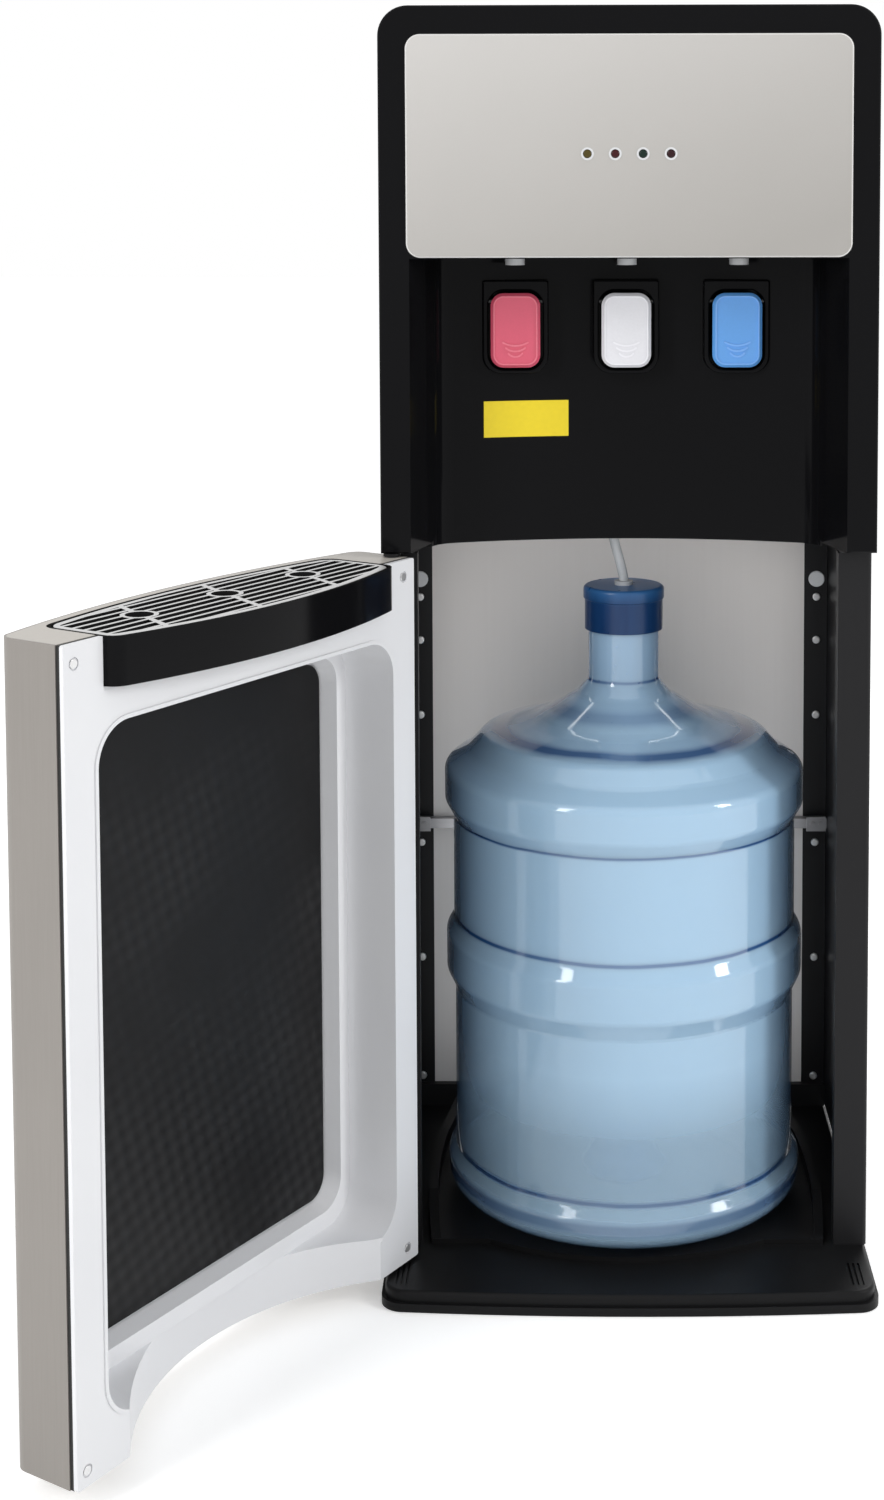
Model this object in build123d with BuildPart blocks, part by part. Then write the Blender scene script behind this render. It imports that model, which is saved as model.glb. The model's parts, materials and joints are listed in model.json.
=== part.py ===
from build123d import *
import os
from math import cos, sin, radians, sqrt

os.makedirs("parts", exist_ok=True)

# Bottom load water cooler, door standing open. Millimetres, +Z up, front facing -Y.
# The origin is on the floor, midway between front and back, under the bottle's axis.

# Cabinet
cabinet_width = 350
cabinet_height = 912
cabinet_rear = 178
wing_front = -120
pillar_inset = 0.5
pillar_depth = 22
pillar_flange = 24
pillar_lip = 12
head_bottom = 528
sheet = 1.2
fit_gap = 0.3
top_cover_height = 32
cabinet_corner = 21
moulding_wall = 3

# Base plate
base_height = 14
base_step = 6
base_step_inset = 2.5
base_front_corner = -168
base_bow = 7
base_corner = 16
base_slot_x = 161
base_slot_y = -141
base_slot_length = 32
base_slot_width = 1.6
base_slot_depth = 1.5
base_slot_pitch = 3.6

# Recess and display
recess_mouth = 154
recess_back_half_width = 138
recess_depth_side = 56
recess_depth_middle = 80
recess_corner = 24
recess_skirt = 2.5
recess_drop = 176
display_width = 311.5
display_height = 155.2
display_drop = 20
display_thickness = 4
display_proud = 1.5
display_corner = 10.5
lamp_pitch = 19.4
lamp_drop = 103
lamp_radius = 3.1
lamp_ring_radius = 4.2
lamp_proud = 0.8

# Taps
tap_pitch = 80.6
tap_steps = (-1, 0, 1)
paddle_width = 36
paddle_height = 54.2
paddle_drop = 27.4
paddle_thickness = 5
paddle_corner = 9.5
paddle_bevel = 2.2
paddle_rim = 3
paddle_dish = 0.8
paddle_front = -63
ridge_rise = 8
ridge_pitch = 4
ridge_half_width = 5
ridge_spread = 2
ridge_sag = 2.4
ridge_thickness = 1.3
paddle_pivot_drop = 6
paddle_pin_radius = 2
pin_clearance = 0.05
surround_width = 48
surround_reach = 5
surround_rise = 9.3
surround_corner = 13
surround_top_corner = 2
surround_edge = 1.2
surround_wall = 2.4
surround_depth = 26
surround_proud = 2
paddle_gap = 2
spout_radius = 7
spout_bore = 4
spout_drop = 6.3
spout_y = -72
valve_width = 26
valve_depth = 24
valve_height = 38

# Bottle
bottle_radius = 136.5
bottle_ring_radius = 135.5
bottle_heel_radius = 134.5
bottle_foot_radius = 106
bottle_waist_radius = 129
bottle_body_radius = 130
bottle_neck_radius = 27
bottle_wall = 1.6
bottle_punt = 6
bottle_heel_top = 28
middle_ring_bottom = 174
middle_ring_top = 202
upper_ring_bottom = 304
upper_ring_top = 329
ring_slope = 12
bottle_neck_top = 463
cap_radius = 29.6
cap_bead = 1.1
cap_bead_height = 10
cap_height = 33
cap_wall = 2
hose_radius = 3.6
hose_bore = 2.6
hose_straight = 4
hose_bend = 18
tube_radius = 4
tube_lift = 14

# Bay
bay_back = 151.7
rail_width = 20
rail_screw_radius = 3.2
rail_screw_rises = (38, 140, 238)
rail_screw_drops = (82, 118, 181)
rail_plug_radius = 6.6
rail_plug_drop = 67
crossmember_top = 32.5
crossmember_depth = 6
brace_height = 256
brace_section = 8
tray_floor = 4
tray_half_width = 149
tray_front_half_width = 143
tray_nose = 28
tray_nose_half_width = 100
tray_slope = 65
tray_rim_width = 7
tray_rim_height = 10

# Door
door_width = 347
door_bottom = 16.5
door_top_gap = 3
door_thickness = 51
door_bow = 20
door_edge_radius = 10
door_open_angle = 122
hinge_inset = 6
hinge_depth = 15
door_setback = 2
skin_sheet = 1.2
seal_depth = 3
rim_plate = 3
rim_flat = 27
liner_wall = 2.5
liner_lift = 0.2
pocket_depth = 38
pocket_bottom = 46
pocket_top = 472
pocket_corner = 26
pocket_lead = 4
niche_inset = 14
niche_depth = 52
niche_bottom = 62
niche_top = 460
niche_corner = 20
foam_inset = 6
foam_thickness = 3
scoop_radius = 188.8
scoop_depth = 50
hinge_pin_radius = 2.5
hinge_bush_radius = 4.2
hinge_plate = 2
hinge_plate_half_width = 6
pin_reach = 12
liner_screw_radius = 3
magnet_inset = 11
magnet_rise = 56.5
magnet_drop = 67
magnet_radius = 4.5
magnet_thickness = 2.5

# Drip tray and grille
drip_half_length = 140
drip_end_bulge = 8
drip_bulge = 28
drip_front_inset = 6
drip_height = 30
drip_wall = 2.2
drip_corner = 12
grille_corner = 15.5
grille_thickness = 4
grille_margin = 5
grille_hole_radius = 9
grille_hole_rim = 3
grille_rib = 4
grille_slot = 6.8
grille_pitch = 9.6
grille_rows = 9
grille_first_row = 16
grille_rib_angle = 24
grille_hole_y = -126

# Water works in the head
deck_sheet = 1.5
tank_wall = 1.5
tank_round = 10
tank_port = 3.4
drain_radius = 6
drain_bore = 4
hot_tank_radius = 58
hot_pipe_rise = 72.5
hot_tank_inset = 80
cold_tank_radius = 55
cold_pipe_rise = 57.5
cold_tank_inset = 91
tank_y = 48
tank_foot = 12
pump_width = 50
pump_depth = 44
pump_height = 78
pump_x = -9.5
pump_gap = 1
pipe_radius = 4
pipe_bore = 2.8
pipe_bend = 11
pipe_slope_start = 104
pipe_slope_end = 64

# Rear services
fan_size = 92
fan_depth = 25
fan_rise = 92
fan_hub_radius = 17
fan_blades = 7
fan_tip_gap = 2
sink_fins = 13
inlet_width = 28
inlet_height = 20
inlet_depth = 17
inlet_pin_length = 12
inlet_inset = 65
inlet_z = 100
switch_pitch = 30
switch_inset = 65
switch_drop = 132
rocker_width = 12
rocker_length = 22

half_width = cabinet_width / 2
recess_bottom = head_bottom - recess_skirt
recess_top = cabinet_height - recess_drop
display_bottom = cabinet_height - display_drop - display_height
lamp_height = cabinet_height - lamp_drop
paddle_top = recess_top - paddle_drop
paddle_bottom = paddle_top - paddle_height
paddle_pivot_height = paddle_top - paddle_pivot_drop
paddle_middle = (paddle_top + paddle_bottom) / 2
paddle_back = paddle_front + paddle_thickness
surround_bottom = paddle_bottom - surround_reach
surround_top = paddle_top + surround_rise
surround_middle = (surround_bottom + surround_top) / 2
surround_height = surround_top - surround_bottom
surround_front = paddle_back + surround_proud
surround_back = surround_front + surround_depth
paddle_pivot_y = surround_front + paddle_pin_radius + 2
pocket_width = paddle_width + 2 * paddle_gap
pocket_height = paddle_height + 2 * paddle_gap
hot_tank_x = hot_tank_inset - half_width
cold_tank_x = half_width - cold_tank_inset
fan_x = cold_tank_x
pump_y = surround_back + pump_gap + pump_depth / 2
inlet_x = inlet_inset - half_width
switch_x = half_width - switch_inset
fan_height = head_bottom + fan_rise
switch_z = cabinet_height - switch_drop
door_top = head_bottom - door_top_gap
pillar_front = wing_front + pillar_depth
pillar_outside = half_width - pillar_inset
side_inside = pillar_outside - sheet
side_top = cabinet_height - top_cover_height
rear_panel_front = cabinet_rear - sheet
deck_bottom = head_bottom
deck_top = deck_bottom + deck_sheet
rim_plane = pillar_front - door_setback
recess_back = wing_front + recess_depth_middle
tap_places = [step * tap_pitch for step in tap_steps]
tap_names = ("hot", "room", "cold")


def level(height):
    """A horizontal sketch plane."""
    return Plane.XY.offset(height)


def facing(depth):
    """A vertical sketch plane at y = depth, seen from the front."""
    return Plane.XZ.offset(-depth)


def save(builder, label):
    """Name a finished piece and write it."""
    builder.part.label = label
    export_step(builder.part, f"parts/{label}.step")


# Door frame: local x runs along the door from the hinge axis, local y towards the cabinet.
door_left = -door_width / 2
hinge_x = door_left + hinge_inset
hinge_y = rim_plane - hinge_depth
door_swing = radians(-door_open_angle)
door_along = (cos(door_swing), sin(door_swing), 0)
door_inward = (-sin(door_swing), cos(door_swing), 0)
door_start = -hinge_inset
door_end = door_width - hinge_inset
door_middle = (door_start + door_end) / 2
rim_v = hinge_depth
front_edge_v = rim_v - door_thickness
front_middle_v = front_edge_v - door_bow


def door_level(height):
    """A horizontal sketch plane that turns with the door."""
    return Plane(origin=(hinge_x, hinge_y, height), x_dir=door_along, z_dir=(0, 0, 1))


def door_face(depth):
    """A vertical plane behind the door's rim; extruding goes towards the door's outside."""
    start = (hinge_x + door_inward[0] * (rim_v - depth), hinge_y + door_inward[1] * (rim_v - depth), 0)
    outward = (-door_inward[0], -door_inward[1], 0)
    return Plane(origin=start, x_dir=door_along, z_dir=outward)


# Base
def base_outline(inset):
    corner_y = base_front_corner + inset
    side = half_width + pillar_inset - inset
    with BuildLine() as outline:
        Polyline((side, corner_y), (side, cabinet_rear), (-side, cabinet_rear), (-side, corner_y))
        ThreePointArc((-side, corner_y), (0, corner_y - base_bow), (side, corner_y))
    make_face(outline.edges())
    fillet(vertices().group_by(Axis.Y)[0], base_corner)


with BuildPart() as base_plate:
    with BuildSketch(level(0)):
        base_outline(0)
    extrude(amount=base_step)
    with BuildSketch(level(base_step)):
        base_outline(base_step_inset)
    extrude(amount=base_height - base_step)
    fillet(base_plate.edges().group_by(Axis.Z)[-1].filter_by(GeomType.LINE, reverse=True), 2.5)
    with BuildSketch(level(base_height)):
        for side in (-1, 1):
            with Locations((side * base_slot_x, base_slot_y)):
                with GridLocations(base_slot_pitch, 1, 3, 1):
                    SlotOverall(base_slot_length, base_slot_width, rotation=90)
    extrude(amount=-base_slot_depth, mode=Mode.SUBTRACT)
save(base_plate, "base_plate")


# Side panels with their folded pillar flanges
def side_panel(side):
    flange_end = pillar_outside - pillar_flange
    rear_fold = cabinet_rear - 2 * sheet
    with BuildPart() as panel:
        with BuildSketch(level(base_height)):
            with BuildLine():
                Polyline(
                    (side * flange_end, pillar_front + pillar_lip),
                    (side * flange_end, pillar_front),
                    (side * pillar_outside, pillar_front),
                    (side * pillar_outside, rear_fold + sheet),
                    (side * (pillar_outside - 16), rear_fold + sheet),
                    (side * (pillar_outside - 16), rear_fold),
                    (side * side_inside, rear_fold),
                    (side * side_inside, pillar_front + sheet),
                    (side * (flange_end + sheet), pillar_front + sheet),
                    (side * (flange_end + sheet), pillar_front + pillar_lip),
                    close=True,
                )
            make_face()
        extrude(amount=side_top - base_height)
        fillet(panel.edges().filter_by(Axis.Z).sort_by(Axis.Y)[0:2].sort_by(Axis.X)[-1 if side > 0 else 0], 3)
        # Above the bay the flange is notched back round the recess moulding.
        notch_edge = recess_mouth + moulding_wall + 1
        with BuildSketch(level(recess_bottom - 1)):
            with Locations((side * (notch_edge - 20), pillar_front + pillar_lip / 2)):
                Rectangle(40, pillar_lip + 4)
        extrude(amount=side_top, mode=Mode.SUBTRACT)
    return panel


save(side_panel(-1), "side_panel_left")
save(side_panel(1), "side_panel_right")

# Rear panel, with the openings of the fan, inlet, switches and drain
drain_x = hot_tank_x
drain_z = deck_top + tank_foot + 10
switch_places = [(switch_x - switch_pitch / 2, switch_z), (switch_x + switch_pitch / 2, switch_z)]
with BuildPart() as rear_panel:
    with BuildSketch(facing(cabinet_rear)):
        with Locations((0, (base_height + side_top) / 2)):
            Rectangle(2 * pillar_outside - 2 * fit_gap, side_top - base_height)
        with Locations((fan_x, fan_height)):
            with GridLocations(1, 10, 1, 8):
                SlotOverall(fan_size - 14, 5, mode=Mode.SUBTRACT)
        with Locations((0, 300)):
            with GridLocations(1, 12, 1, 10):
                SlotOverall(160, 5, mode=Mode.SUBTRACT)
        with Locations((inlet_x, inlet_z)):
            Rectangle(inlet_width + 2 * fit_gap, inlet_height + 2 * fit_gap, mode=Mode.SUBTRACT)
        with Locations(*switch_places):
            Rectangle(rocker_width + 6, rocker_length + 6, mode=Mode.SUBTRACT)
        with Locations((drain_x, drain_z)):
            Circle(9, mode=Mode.SUBTRACT)
    extrude(amount=sheet)
save(rear_panel, "rear_panel")

# Top cover
with BuildPart() as top_cover:
    cover_length = cabinet_rear - pillar_front
    with BuildSketch(facing(cabinet_rear)):
        with Locations((0, cabinet_height - top_cover_height / 2)):
            Rectangle(2 * pillar_outside, top_cover_height)
        fillet(vertices().group_by(Axis.Y)[-1], cabinet_corner)
    extrude(amount=cover_length)
    with BuildSketch(facing(cabinet_rear - moulding_wall)):
        with Locations((0, cabinet_height - moulding_wall - top_cover_height / 2)):
            Rectangle(2 * (pillar_outside - moulding_wall), top_cover_height)
        fillet(vertices().group_by(Axis.Y)[-1], cabinet_corner - moulding_wall)
    extrude(amount=cover_length, mode=Mode.SUBTRACT)
save(top_cover, "top_cover")


# Upper front panel: one gloss moulding with the recess and the display's seat
def recess_outline(growth):
    mouth = recess_mouth + growth
    back = recess_back_half_width + growth
    side_y = wing_front + recess_depth_side + growth
    front = wing_front - 1 + growth
    with BuildLine() as outline:
        Polyline((-back, side_y), (-mouth, front), (mouth, front), (back, side_y))
        ThreePointArc((back, side_y), (0, recess_back + growth), (-back, side_y))
    make_face(outline.edges())
    fillet(vertices().group_by(Axis.Y)[-1], recess_corner)


def surround_shape(inset):
    """The tap surrounds from the front: nearly square at the top, round at the bottom."""
    with Locations(*[(x, surround_middle) for x in tap_places]):
        Rectangle(surround_width - 2 * inset, surround_height - 2 * inset)
    fillet(vertices().group_by(Axis.Y)[-1], surround_top_corner - inset)
    fillet(vertices().group_by(Axis.Y)[0], surround_corner - inset)


with BuildPart() as upper_front_panel:
    with BuildSketch(facing(pillar_front)):
        with Locations((0, (head_bottom + cabinet_height) / 2)):
            Rectangle(cabinet_width, cabinet_height - head_bottom)
        fillet(vertices().group_by(Axis.Y)[-1], cabinet_corner)
    extrude(amount=pillar_depth)
    chamfer(upper_front_panel.faces().sort_by(Axis.Y)[0].edges(), 1.2)
    with BuildSketch(facing(pillar_front)):
        with Locations((0, (head_bottom + cabinet_height) / 2)):
            Rectangle(cabinet_width - 2 * moulding_wall, cabinet_height - head_bottom - 2 * moulding_wall)
        fillet(vertices().group_by(Axis.Y)[-1], cabinet_corner - moulding_wall)
    extrude(amount=pillar_depth - moulding_wall - display_thickness, mode=Mode.SUBTRACT)
    with BuildSketch(level(recess_bottom)):
        recess_outline(moulding_wall)
    extrude(amount=recess_top + moulding_wall - recess_bottom)
    with BuildSketch(level(recess_bottom - 1)):
        recess_outline(0)
    extrude(amount=recess_top - recess_bottom + 1, mode=Mode.SUBTRACT)
    # Only the recess's back wall comes down below the wings.
    with BuildSketch(level(recess_bottom - 1)):
        with Locations((0, pillar_front - 30)):
            Rectangle(cabinet_width + 2, 2 * (pillar_depth + 30))
    extrude(amount=head_bottom - recess_bottom + 1, mode=Mode.SUBTRACT)
    # The display's shallow seat, and the windows of the lamps.
    with BuildSketch(facing(wing_front + display_thickness - display_proud)):
        with Locations((0, display_bottom + display_height / 2)):
            RectangleRounded(display_width + 2 * fit_gap, display_height + 2 * fit_gap, display_corner)
    extrude(amount=display_thickness, mode=Mode.SUBTRACT)
    with BuildSketch(facing(wing_front + 20)):
        with Locations((0, lamp_height)):
            with GridLocations(lamp_pitch, 1, 4, 1):
                Circle(lamp_radius + fit_gap)
    extrude(amount=20, mode=Mode.SUBTRACT)
    # Windows for the tap surrounds and holes for the spouts.
    with BuildSketch(facing(surround_back + 1)):
        surround_shape(0)
    extrude(amount=surround_depth + 1, mode=Mode.SUBTRACT)
    with BuildSketch(level(recess_top - 1)):
        for x in tap_places:
            with Locations((x, spout_y)):
                Circle(spout_radius + fit_gap)
    extrude(amount=moulding_wall + 2, mode=Mode.SUBTRACT)
save(upper_front_panel, "upper_front_panel")

# Display plate, lamps and board
display_back = wing_front + display_thickness - display_proud
lamp_places = [(step * lamp_pitch, lamp_height) for step in (-1.5, -0.5, 0.5, 1.5)]
with BuildPart() as display_panel:
    with BuildSketch(facing(display_back - fit_gap)):
        with Locations((0, display_bottom + display_height / 2)):
            RectangleRounded(display_width, display_height, display_corner - fit_gap)
    extrude(amount=display_thickness)
    chamfer(display_panel.faces().sort_by(Axis.Y)[0].edges(), 1)
    with BuildSketch(facing(display_back + 1)):
        with Locations(*lamp_places):
            Circle(lamp_ring_radius + fit_gap)
    extrude(amount=display_thickness + 2, mode=Mode.SUBTRACT)
save(display_panel, "display_panel")

display_front = display_back - fit_gap - display_thickness
board_front = wing_front + 16
with BuildPart() as lamp_rings:
    with BuildSketch(facing(display_back - fit_gap)):
        with Locations(*lamp_places):
            Circle(lamp_ring_radius + fit_gap)
            Circle(lamp_radius, mode=Mode.SUBTRACT)
    extrude(amount=display_thickness + lamp_proud / 2)
save(lamp_rings, "lamp_rings")


def lamp_piece(places):
    with BuildPart() as lamp:
        with BuildSketch(facing(board_front)):
            with Locations(*places):
                Circle(lamp_radius - fit_gap / 2)
        extrude(amount=board_front - display_front + lamp_proud)
        fillet(lamp.faces().sort_by(Axis.Y)[0].edges() if len(places) == 1
               else lamp.edges().group_by(Axis.Y)[0], 1.2)
    return lamp


save(lamp_piece([lamp_places[0]]), "lamp_amber")
save(lamp_piece([lamp_places[1]]), "lamp_red")
save(lamp_piece([lamp_places[2]]), "lamp_green")
save(lamp_piece([lamp_places[3]]), "lamp_dark")

board_half_width = 45
board_half_height = 22
relay_width = 16
relay_height = 20
relay_depth = 12
relay_x = -25
connector_x = 28
connector_height = 26
with BuildPart() as control_board:
    with BuildSketch(facing(board_front + 1.6)):
        with Locations((0, lamp_height)):
            Rectangle(2 * board_half_width, 2 * board_half_height)
    extrude(amount=1.6)
    # Standoffs to the back of the display wall, then relays and a connector on the back.
    wall_back = wing_front + moulding_wall + display_thickness
    with BuildSketch(facing(board_front)):
        with Locations((0, lamp_height)):
            with GridLocations(2 * board_half_width - 10, 2 * board_half_height - 10, 2, 2):
                Circle(3)
    extrude(amount=board_front - wall_back)
    with BuildSketch(facing(board_front + 1.6)):
        with Locations((relay_x, lamp_height), (0, lamp_height)):
            Rectangle(relay_width, relay_height)
        with Locations((connector_x, lamp_height)):
            Rectangle(10, connector_height)
    extrude(amount=-relay_depth)
save(control_board, "control_board")

# Taps: surrounds, paddles on pins, spouts with their valves
recess_curve = (recess_back_half_width ** 2 + (recess_depth_middle - recess_depth_side) ** 2) / (
    2 * (recess_depth_middle - recess_depth_side))


def recess_wall_y(x):
    """Depth of the recess's back wall at x."""
    return recess_back - recess_curve + sqrt(recess_curve ** 2 - x ** 2)


with BuildPart() as tap_surrounds:
    with BuildSketch(facing(surround_back)):
        surround_shape(fit_gap)
    extrude(amount=surround_depth)
    with BuildSketch(facing(surround_back - surround_wall)):
        with Locations(*[(x, paddle_middle) for x in tap_places]):
            RectangleRounded(pocket_width, pocket_height, paddle_corner + paddle_gap)
    extrude(amount=surround_depth, mode=Mode.SUBTRACT)
    fillet(tap_surrounds.edges().group_by(Axis.Y)[0], surround_edge)
    for x in tap_places:
        with BuildSketch(Plane.YZ.offset(x)):
            with Locations((paddle_pivot_y, paddle_pivot_height)):
                Circle(paddle_pin_radius + pin_clearance)
        extrude(amount=surround_width / 2 - 0.8, both=True, mode=Mode.SUBTRACT)
save(tap_surrounds, "tap_surrounds")


def paddle(x):
    lug_width = 20
    pin_half = pocket_width / 2 + 1.2
    with BuildPart() as lever:
        with BuildSketch(facing(paddle_front + paddle_thickness)):
            with Locations((x, paddle_middle)):
                RectangleRounded(paddle_width, paddle_height, paddle_corner)
        extrude(amount=paddle_thickness)
        chamfer(lever.faces().sort_by(Axis.Y)[0].edges(), paddle_bevel)
        # A shallow dished field inside a raised rim.
        with BuildSketch(facing(paddle_front + paddle_dish)):
            with Locations((x, paddle_middle)):
                RectangleRounded(
                    paddle_width - 2 * paddle_rim, paddle_height - 2 * paddle_rim, paddle_corner - paddle_rim)
        extrude(amount=paddle_dish + 1, mode=Mode.SUBTRACT)
        # Three curved grip ridges in the lower third.
        for step in (0, 1, 2):
            ridge_z = paddle_bottom + ridge_rise + ridge_pitch * step
            half = ridge_half_width + ridge_spread * step
            with BuildSketch(facing(paddle_front + paddle_dish + 0.1)):
                with BuildLine():
                    ThreePointArc((x - half, ridge_z + ridge_sag), (x, ridge_z), (x + half, ridge_z + ridge_sag))
                    offset(amount=ridge_thickness / 2, side=Side.BOTH)
                make_face()
            extrude(amount=paddle_dish + 0.1)
        with BuildSketch(Plane.YZ.offset(x - lug_width / 2)):
            with Locations((paddle_pivot_y, paddle_pivot_height)):
                Circle(3.6)
            with Locations(((paddle_back + paddle_pivot_y) / 2, paddle_pivot_height)):
                Rectangle(paddle_pivot_y - paddle_back, 7.2)
        extrude(amount=lug_width)
        with BuildSketch(Plane.YZ.offset(x - pin_half)):
            with Locations((paddle_pivot_y, paddle_pivot_height)):
                Circle(paddle_pin_radius)
        extrude(amount=2 * pin_half)
    return lever


def spout(x):
    with BuildPart() as tap:
        with BuildSketch(level(recess_top - spout_drop)):
            with Locations((x, spout_y)):
                Circle(spout_radius)
        extrude(amount=spout_drop + moulding_wall + 4)
        with BuildSketch(level(recess_top + moulding_wall + fit_gap)):
            with Locations((x, spout_y)):
                Rectangle(valve_width, valve_depth)
        extrude(amount=valve_height)
        with BuildSketch(level(recess_top - spout_drop)):
            with Locations((x, spout_y)):
                Circle(spout_bore)
        extrude(amount=spout_drop + moulding_wall + 16, mode=Mode.SUBTRACT)
        # Inlet nipple at the back of the valve.
        with BuildSketch(facing(spout_y + valve_depth / 2)):
            with Locations((x, recess_top + moulding_wall + valve_height - 10)):
                Circle(pipe_radius)
        extrude(amount=-9)
    return tap


for name, x in zip(tap_names, tap_places):
    save(paddle(x), f"paddle_{name}")
    save(spout(x), f"spout_{name}")

# Plain yellow label on the recess wall, bent to it
label_left = -104
label_right = -42
label_drop = 20.5
label_height = 26.6
label_top = surround_bottom - label_drop
label_bottom = label_top - label_height
label_thickness = 0.4
with BuildPart() as label_plate:
    with BuildSketch(level(label_bottom)):
        with BuildLine():
            front_arc = ThreePointArc(
                (label_left, recess_wall_y(label_left) - label_thickness),
                ((label_left + label_right) / 2, recess_wall_y((label_left + label_right) / 2) - label_thickness),
                (label_right, recess_wall_y(label_right) - label_thickness),
            )
            back_arc = ThreePointArc(
                (label_left, recess_wall_y(label_left) - 0.05),
                ((label_left + label_right) / 2, recess_wall_y((label_left + label_right) / 2) - 0.05),
                (label_right, recess_wall_y(label_right) - 0.05),
            )
            Line(front_arc @ 0, back_arc @ 0)
            Line(front_arc @ 1, back_arc @ 1)
        make_face()
    extrude(amount=label_top - label_bottom)
save(label_plate, "label_plate")

# Bay: back panel, rails, cross brace, crossmember, deck
rail_outside = side_inside - fit_gap
rail_inside = rail_outside - rail_width + 1
rail_front = bay_back - sheet - fit_gap / 2
rail_bottom = base_height
bay_top = deck_bottom - 1
rail_plug_height = bay_top - rail_plug_drop
rail_screw_heights = [*rail_screw_rises, *[bay_top - drop for drop in rail_screw_drops]]
with BuildPart() as bay_back_panel:
    with BuildSketch(facing(bay_back + sheet)):
        with Locations((0, (base_height + bay_top) / 2)):
            Rectangle(2 * (rail_outside - 4), bay_top - base_height)
    extrude(amount=sheet)
save(bay_back_panel, "bay_back_panel")


def rear_rail(side):
    with BuildPart() as rail:
        with BuildSketch(level(rail_bottom)):
            with BuildLine():
                Polyline(
                    (side * rail_inside, rail_front),
                    (side * rail_outside, rail_front),
                    (side * rail_outside, cabinet_rear - 2 * sheet - fit_gap),
                    (side * (rail_outside - sheet), cabinet_rear - 2 * sheet - fit_gap),
                    (side * (rail_outside - sheet), rail_front + sheet),
                    (side * rail_inside, rail_front + sheet),
                    close=True,
                )
            make_face()
        extrude(amount=bay_top - rail_bottom)
        with BuildSketch(facing(rail_front + 2 * sheet)):
            with Locations((side * (rail_inside + rail_width / 2), rail_plug_height)):
                Circle(rail_plug_radius - 1.5)
            with Locations(*[(side * (rail_inside + rail_width / 2), z) for z in rail_screw_heights]):
                Circle(rail_screw_radius / 2)
        extrude(amount=4 * sheet, mode=Mode.SUBTRACT)
    return rail


save(rear_rail(-1), "rear_rail_left")
save(rear_rail(1), "rear_rail_right")

rail_screw_x = rail_inside + rail_width / 2
with BuildPart() as rail_screws:
    with BuildSketch(facing(rail_front)):
        for side in (-1, 1):
            with Locations(*[(side * rail_screw_x, z) for z in rail_screw_heights]):
                Circle(rail_screw_radius)
    extrude(amount=1.8)
    fillet(rail_screws.edges().group_by(Axis.Y)[0], 0.9)
    with BuildSketch(facing(rail_front)):
        for side in (-1, 1):
            with Locations(*[(side * rail_screw_x, z) for z in rail_screw_heights]):
                Circle(rail_screw_radius / 2)
    extrude(amount=-sheet)
save(rail_screws, "rail_screws")

with BuildPart() as rail_plugs:
    with BuildSketch(facing(rail_front)):
        with Locations((-rail_screw_x, rail_plug_height), (rail_screw_x, rail_plug_height)):
            Circle(rail_plug_radius)
    extrude(amount=1.6)
    fillet(rail_plugs.edges().group_by(Axis.Y)[0], 0.8)
    with BuildSketch(facing(rail_front)):
        with Locations((-rail_screw_x, rail_plug_height), (rail_screw_x, rail_plug_height)):
            Circle(rail_plug_radius - 1.5)
    extrude(amount=-sheet)
save(rail_plugs, "rail_plugs")

with BuildPart() as rear_crossmember:
    crossmember_front = rail_front - crossmember_depth
    with BuildSketch(Plane.YZ.offset(-rail_outside)):
        with BuildLine():
            Polyline(
                (rail_front, base_height),
                (crossmember_front, base_height),
                (crossmember_front, crossmember_top),
                (rail_front, crossmember_top),
                (rail_front, crossmember_top - sheet),
                (crossmember_front + sheet, crossmember_top - sheet),
                (crossmember_front + sheet, base_height + sheet),
                (rail_front, base_height + sheet),
                close=True,
            )
        make_face()
    extrude(amount=2 * rail_outside)
save(rear_crossmember, "rear_crossmember")

brace_front = rail_front - brace_section
bracket_length = 16
with BuildPart() as cross_brace:
    with BuildSketch(Plane.YZ.offset(-rail_outside)):
        with Locations((rail_front - brace_section / 2, brace_height)):
            Rectangle(brace_section, brace_section)
            Rectangle(brace_section - 2 * sheet, brace_section - 2 * sheet, mode=Mode.SUBTRACT)
    extrude(amount=2 * rail_outside)
    for side in (-1, 1):
        with BuildSketch(facing(brace_front)):
            with Locations((side * (rail_outside - bracket_length / 2 - 1), brace_height)):
                Rectangle(bracket_length, brace_section + 4)
        extrude(amount=2)
        with BuildSketch(facing(brace_front - 2)):
            with Locations((side * (rail_outside - 5), brace_height), (side * (rail_outside - 12), brace_height)):
                Circle(2.2)
        extrude(amount=1.2)
save(cross_brace, "cross_brace")

with BuildPart() as mid_deck:
    deck_front = recess_back + moulding_wall + fit_gap
    with BuildSketch(level(deck_bottom)):
        with Locations((0, (deck_front + cabinet_rear - 2 * sheet) / 2)):
            Rectangle(2 * rail_outside, cabinet_rear - 2 * sheet - deck_front - fit_gap)
        with Locations((pump_x, pump_y)):
            Circle(hose_radius + 3, mode=Mode.SUBTRACT)
    extrude(amount=deck_sheet)
    with BuildSketch(level(deck_bottom - 1)):
        with Locations((0, rail_front - 6)):
            Rectangle(2 * rail_outside, sheet)
    extrude(amount=1)
save(mid_deck, "mid_deck")

# Bottle tray with a raised rim, open at the front
tray_front = pillar_front
tray_back = rail_front - crossmember_depth - fit_gap
tray_top = base_height + tray_floor


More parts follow.
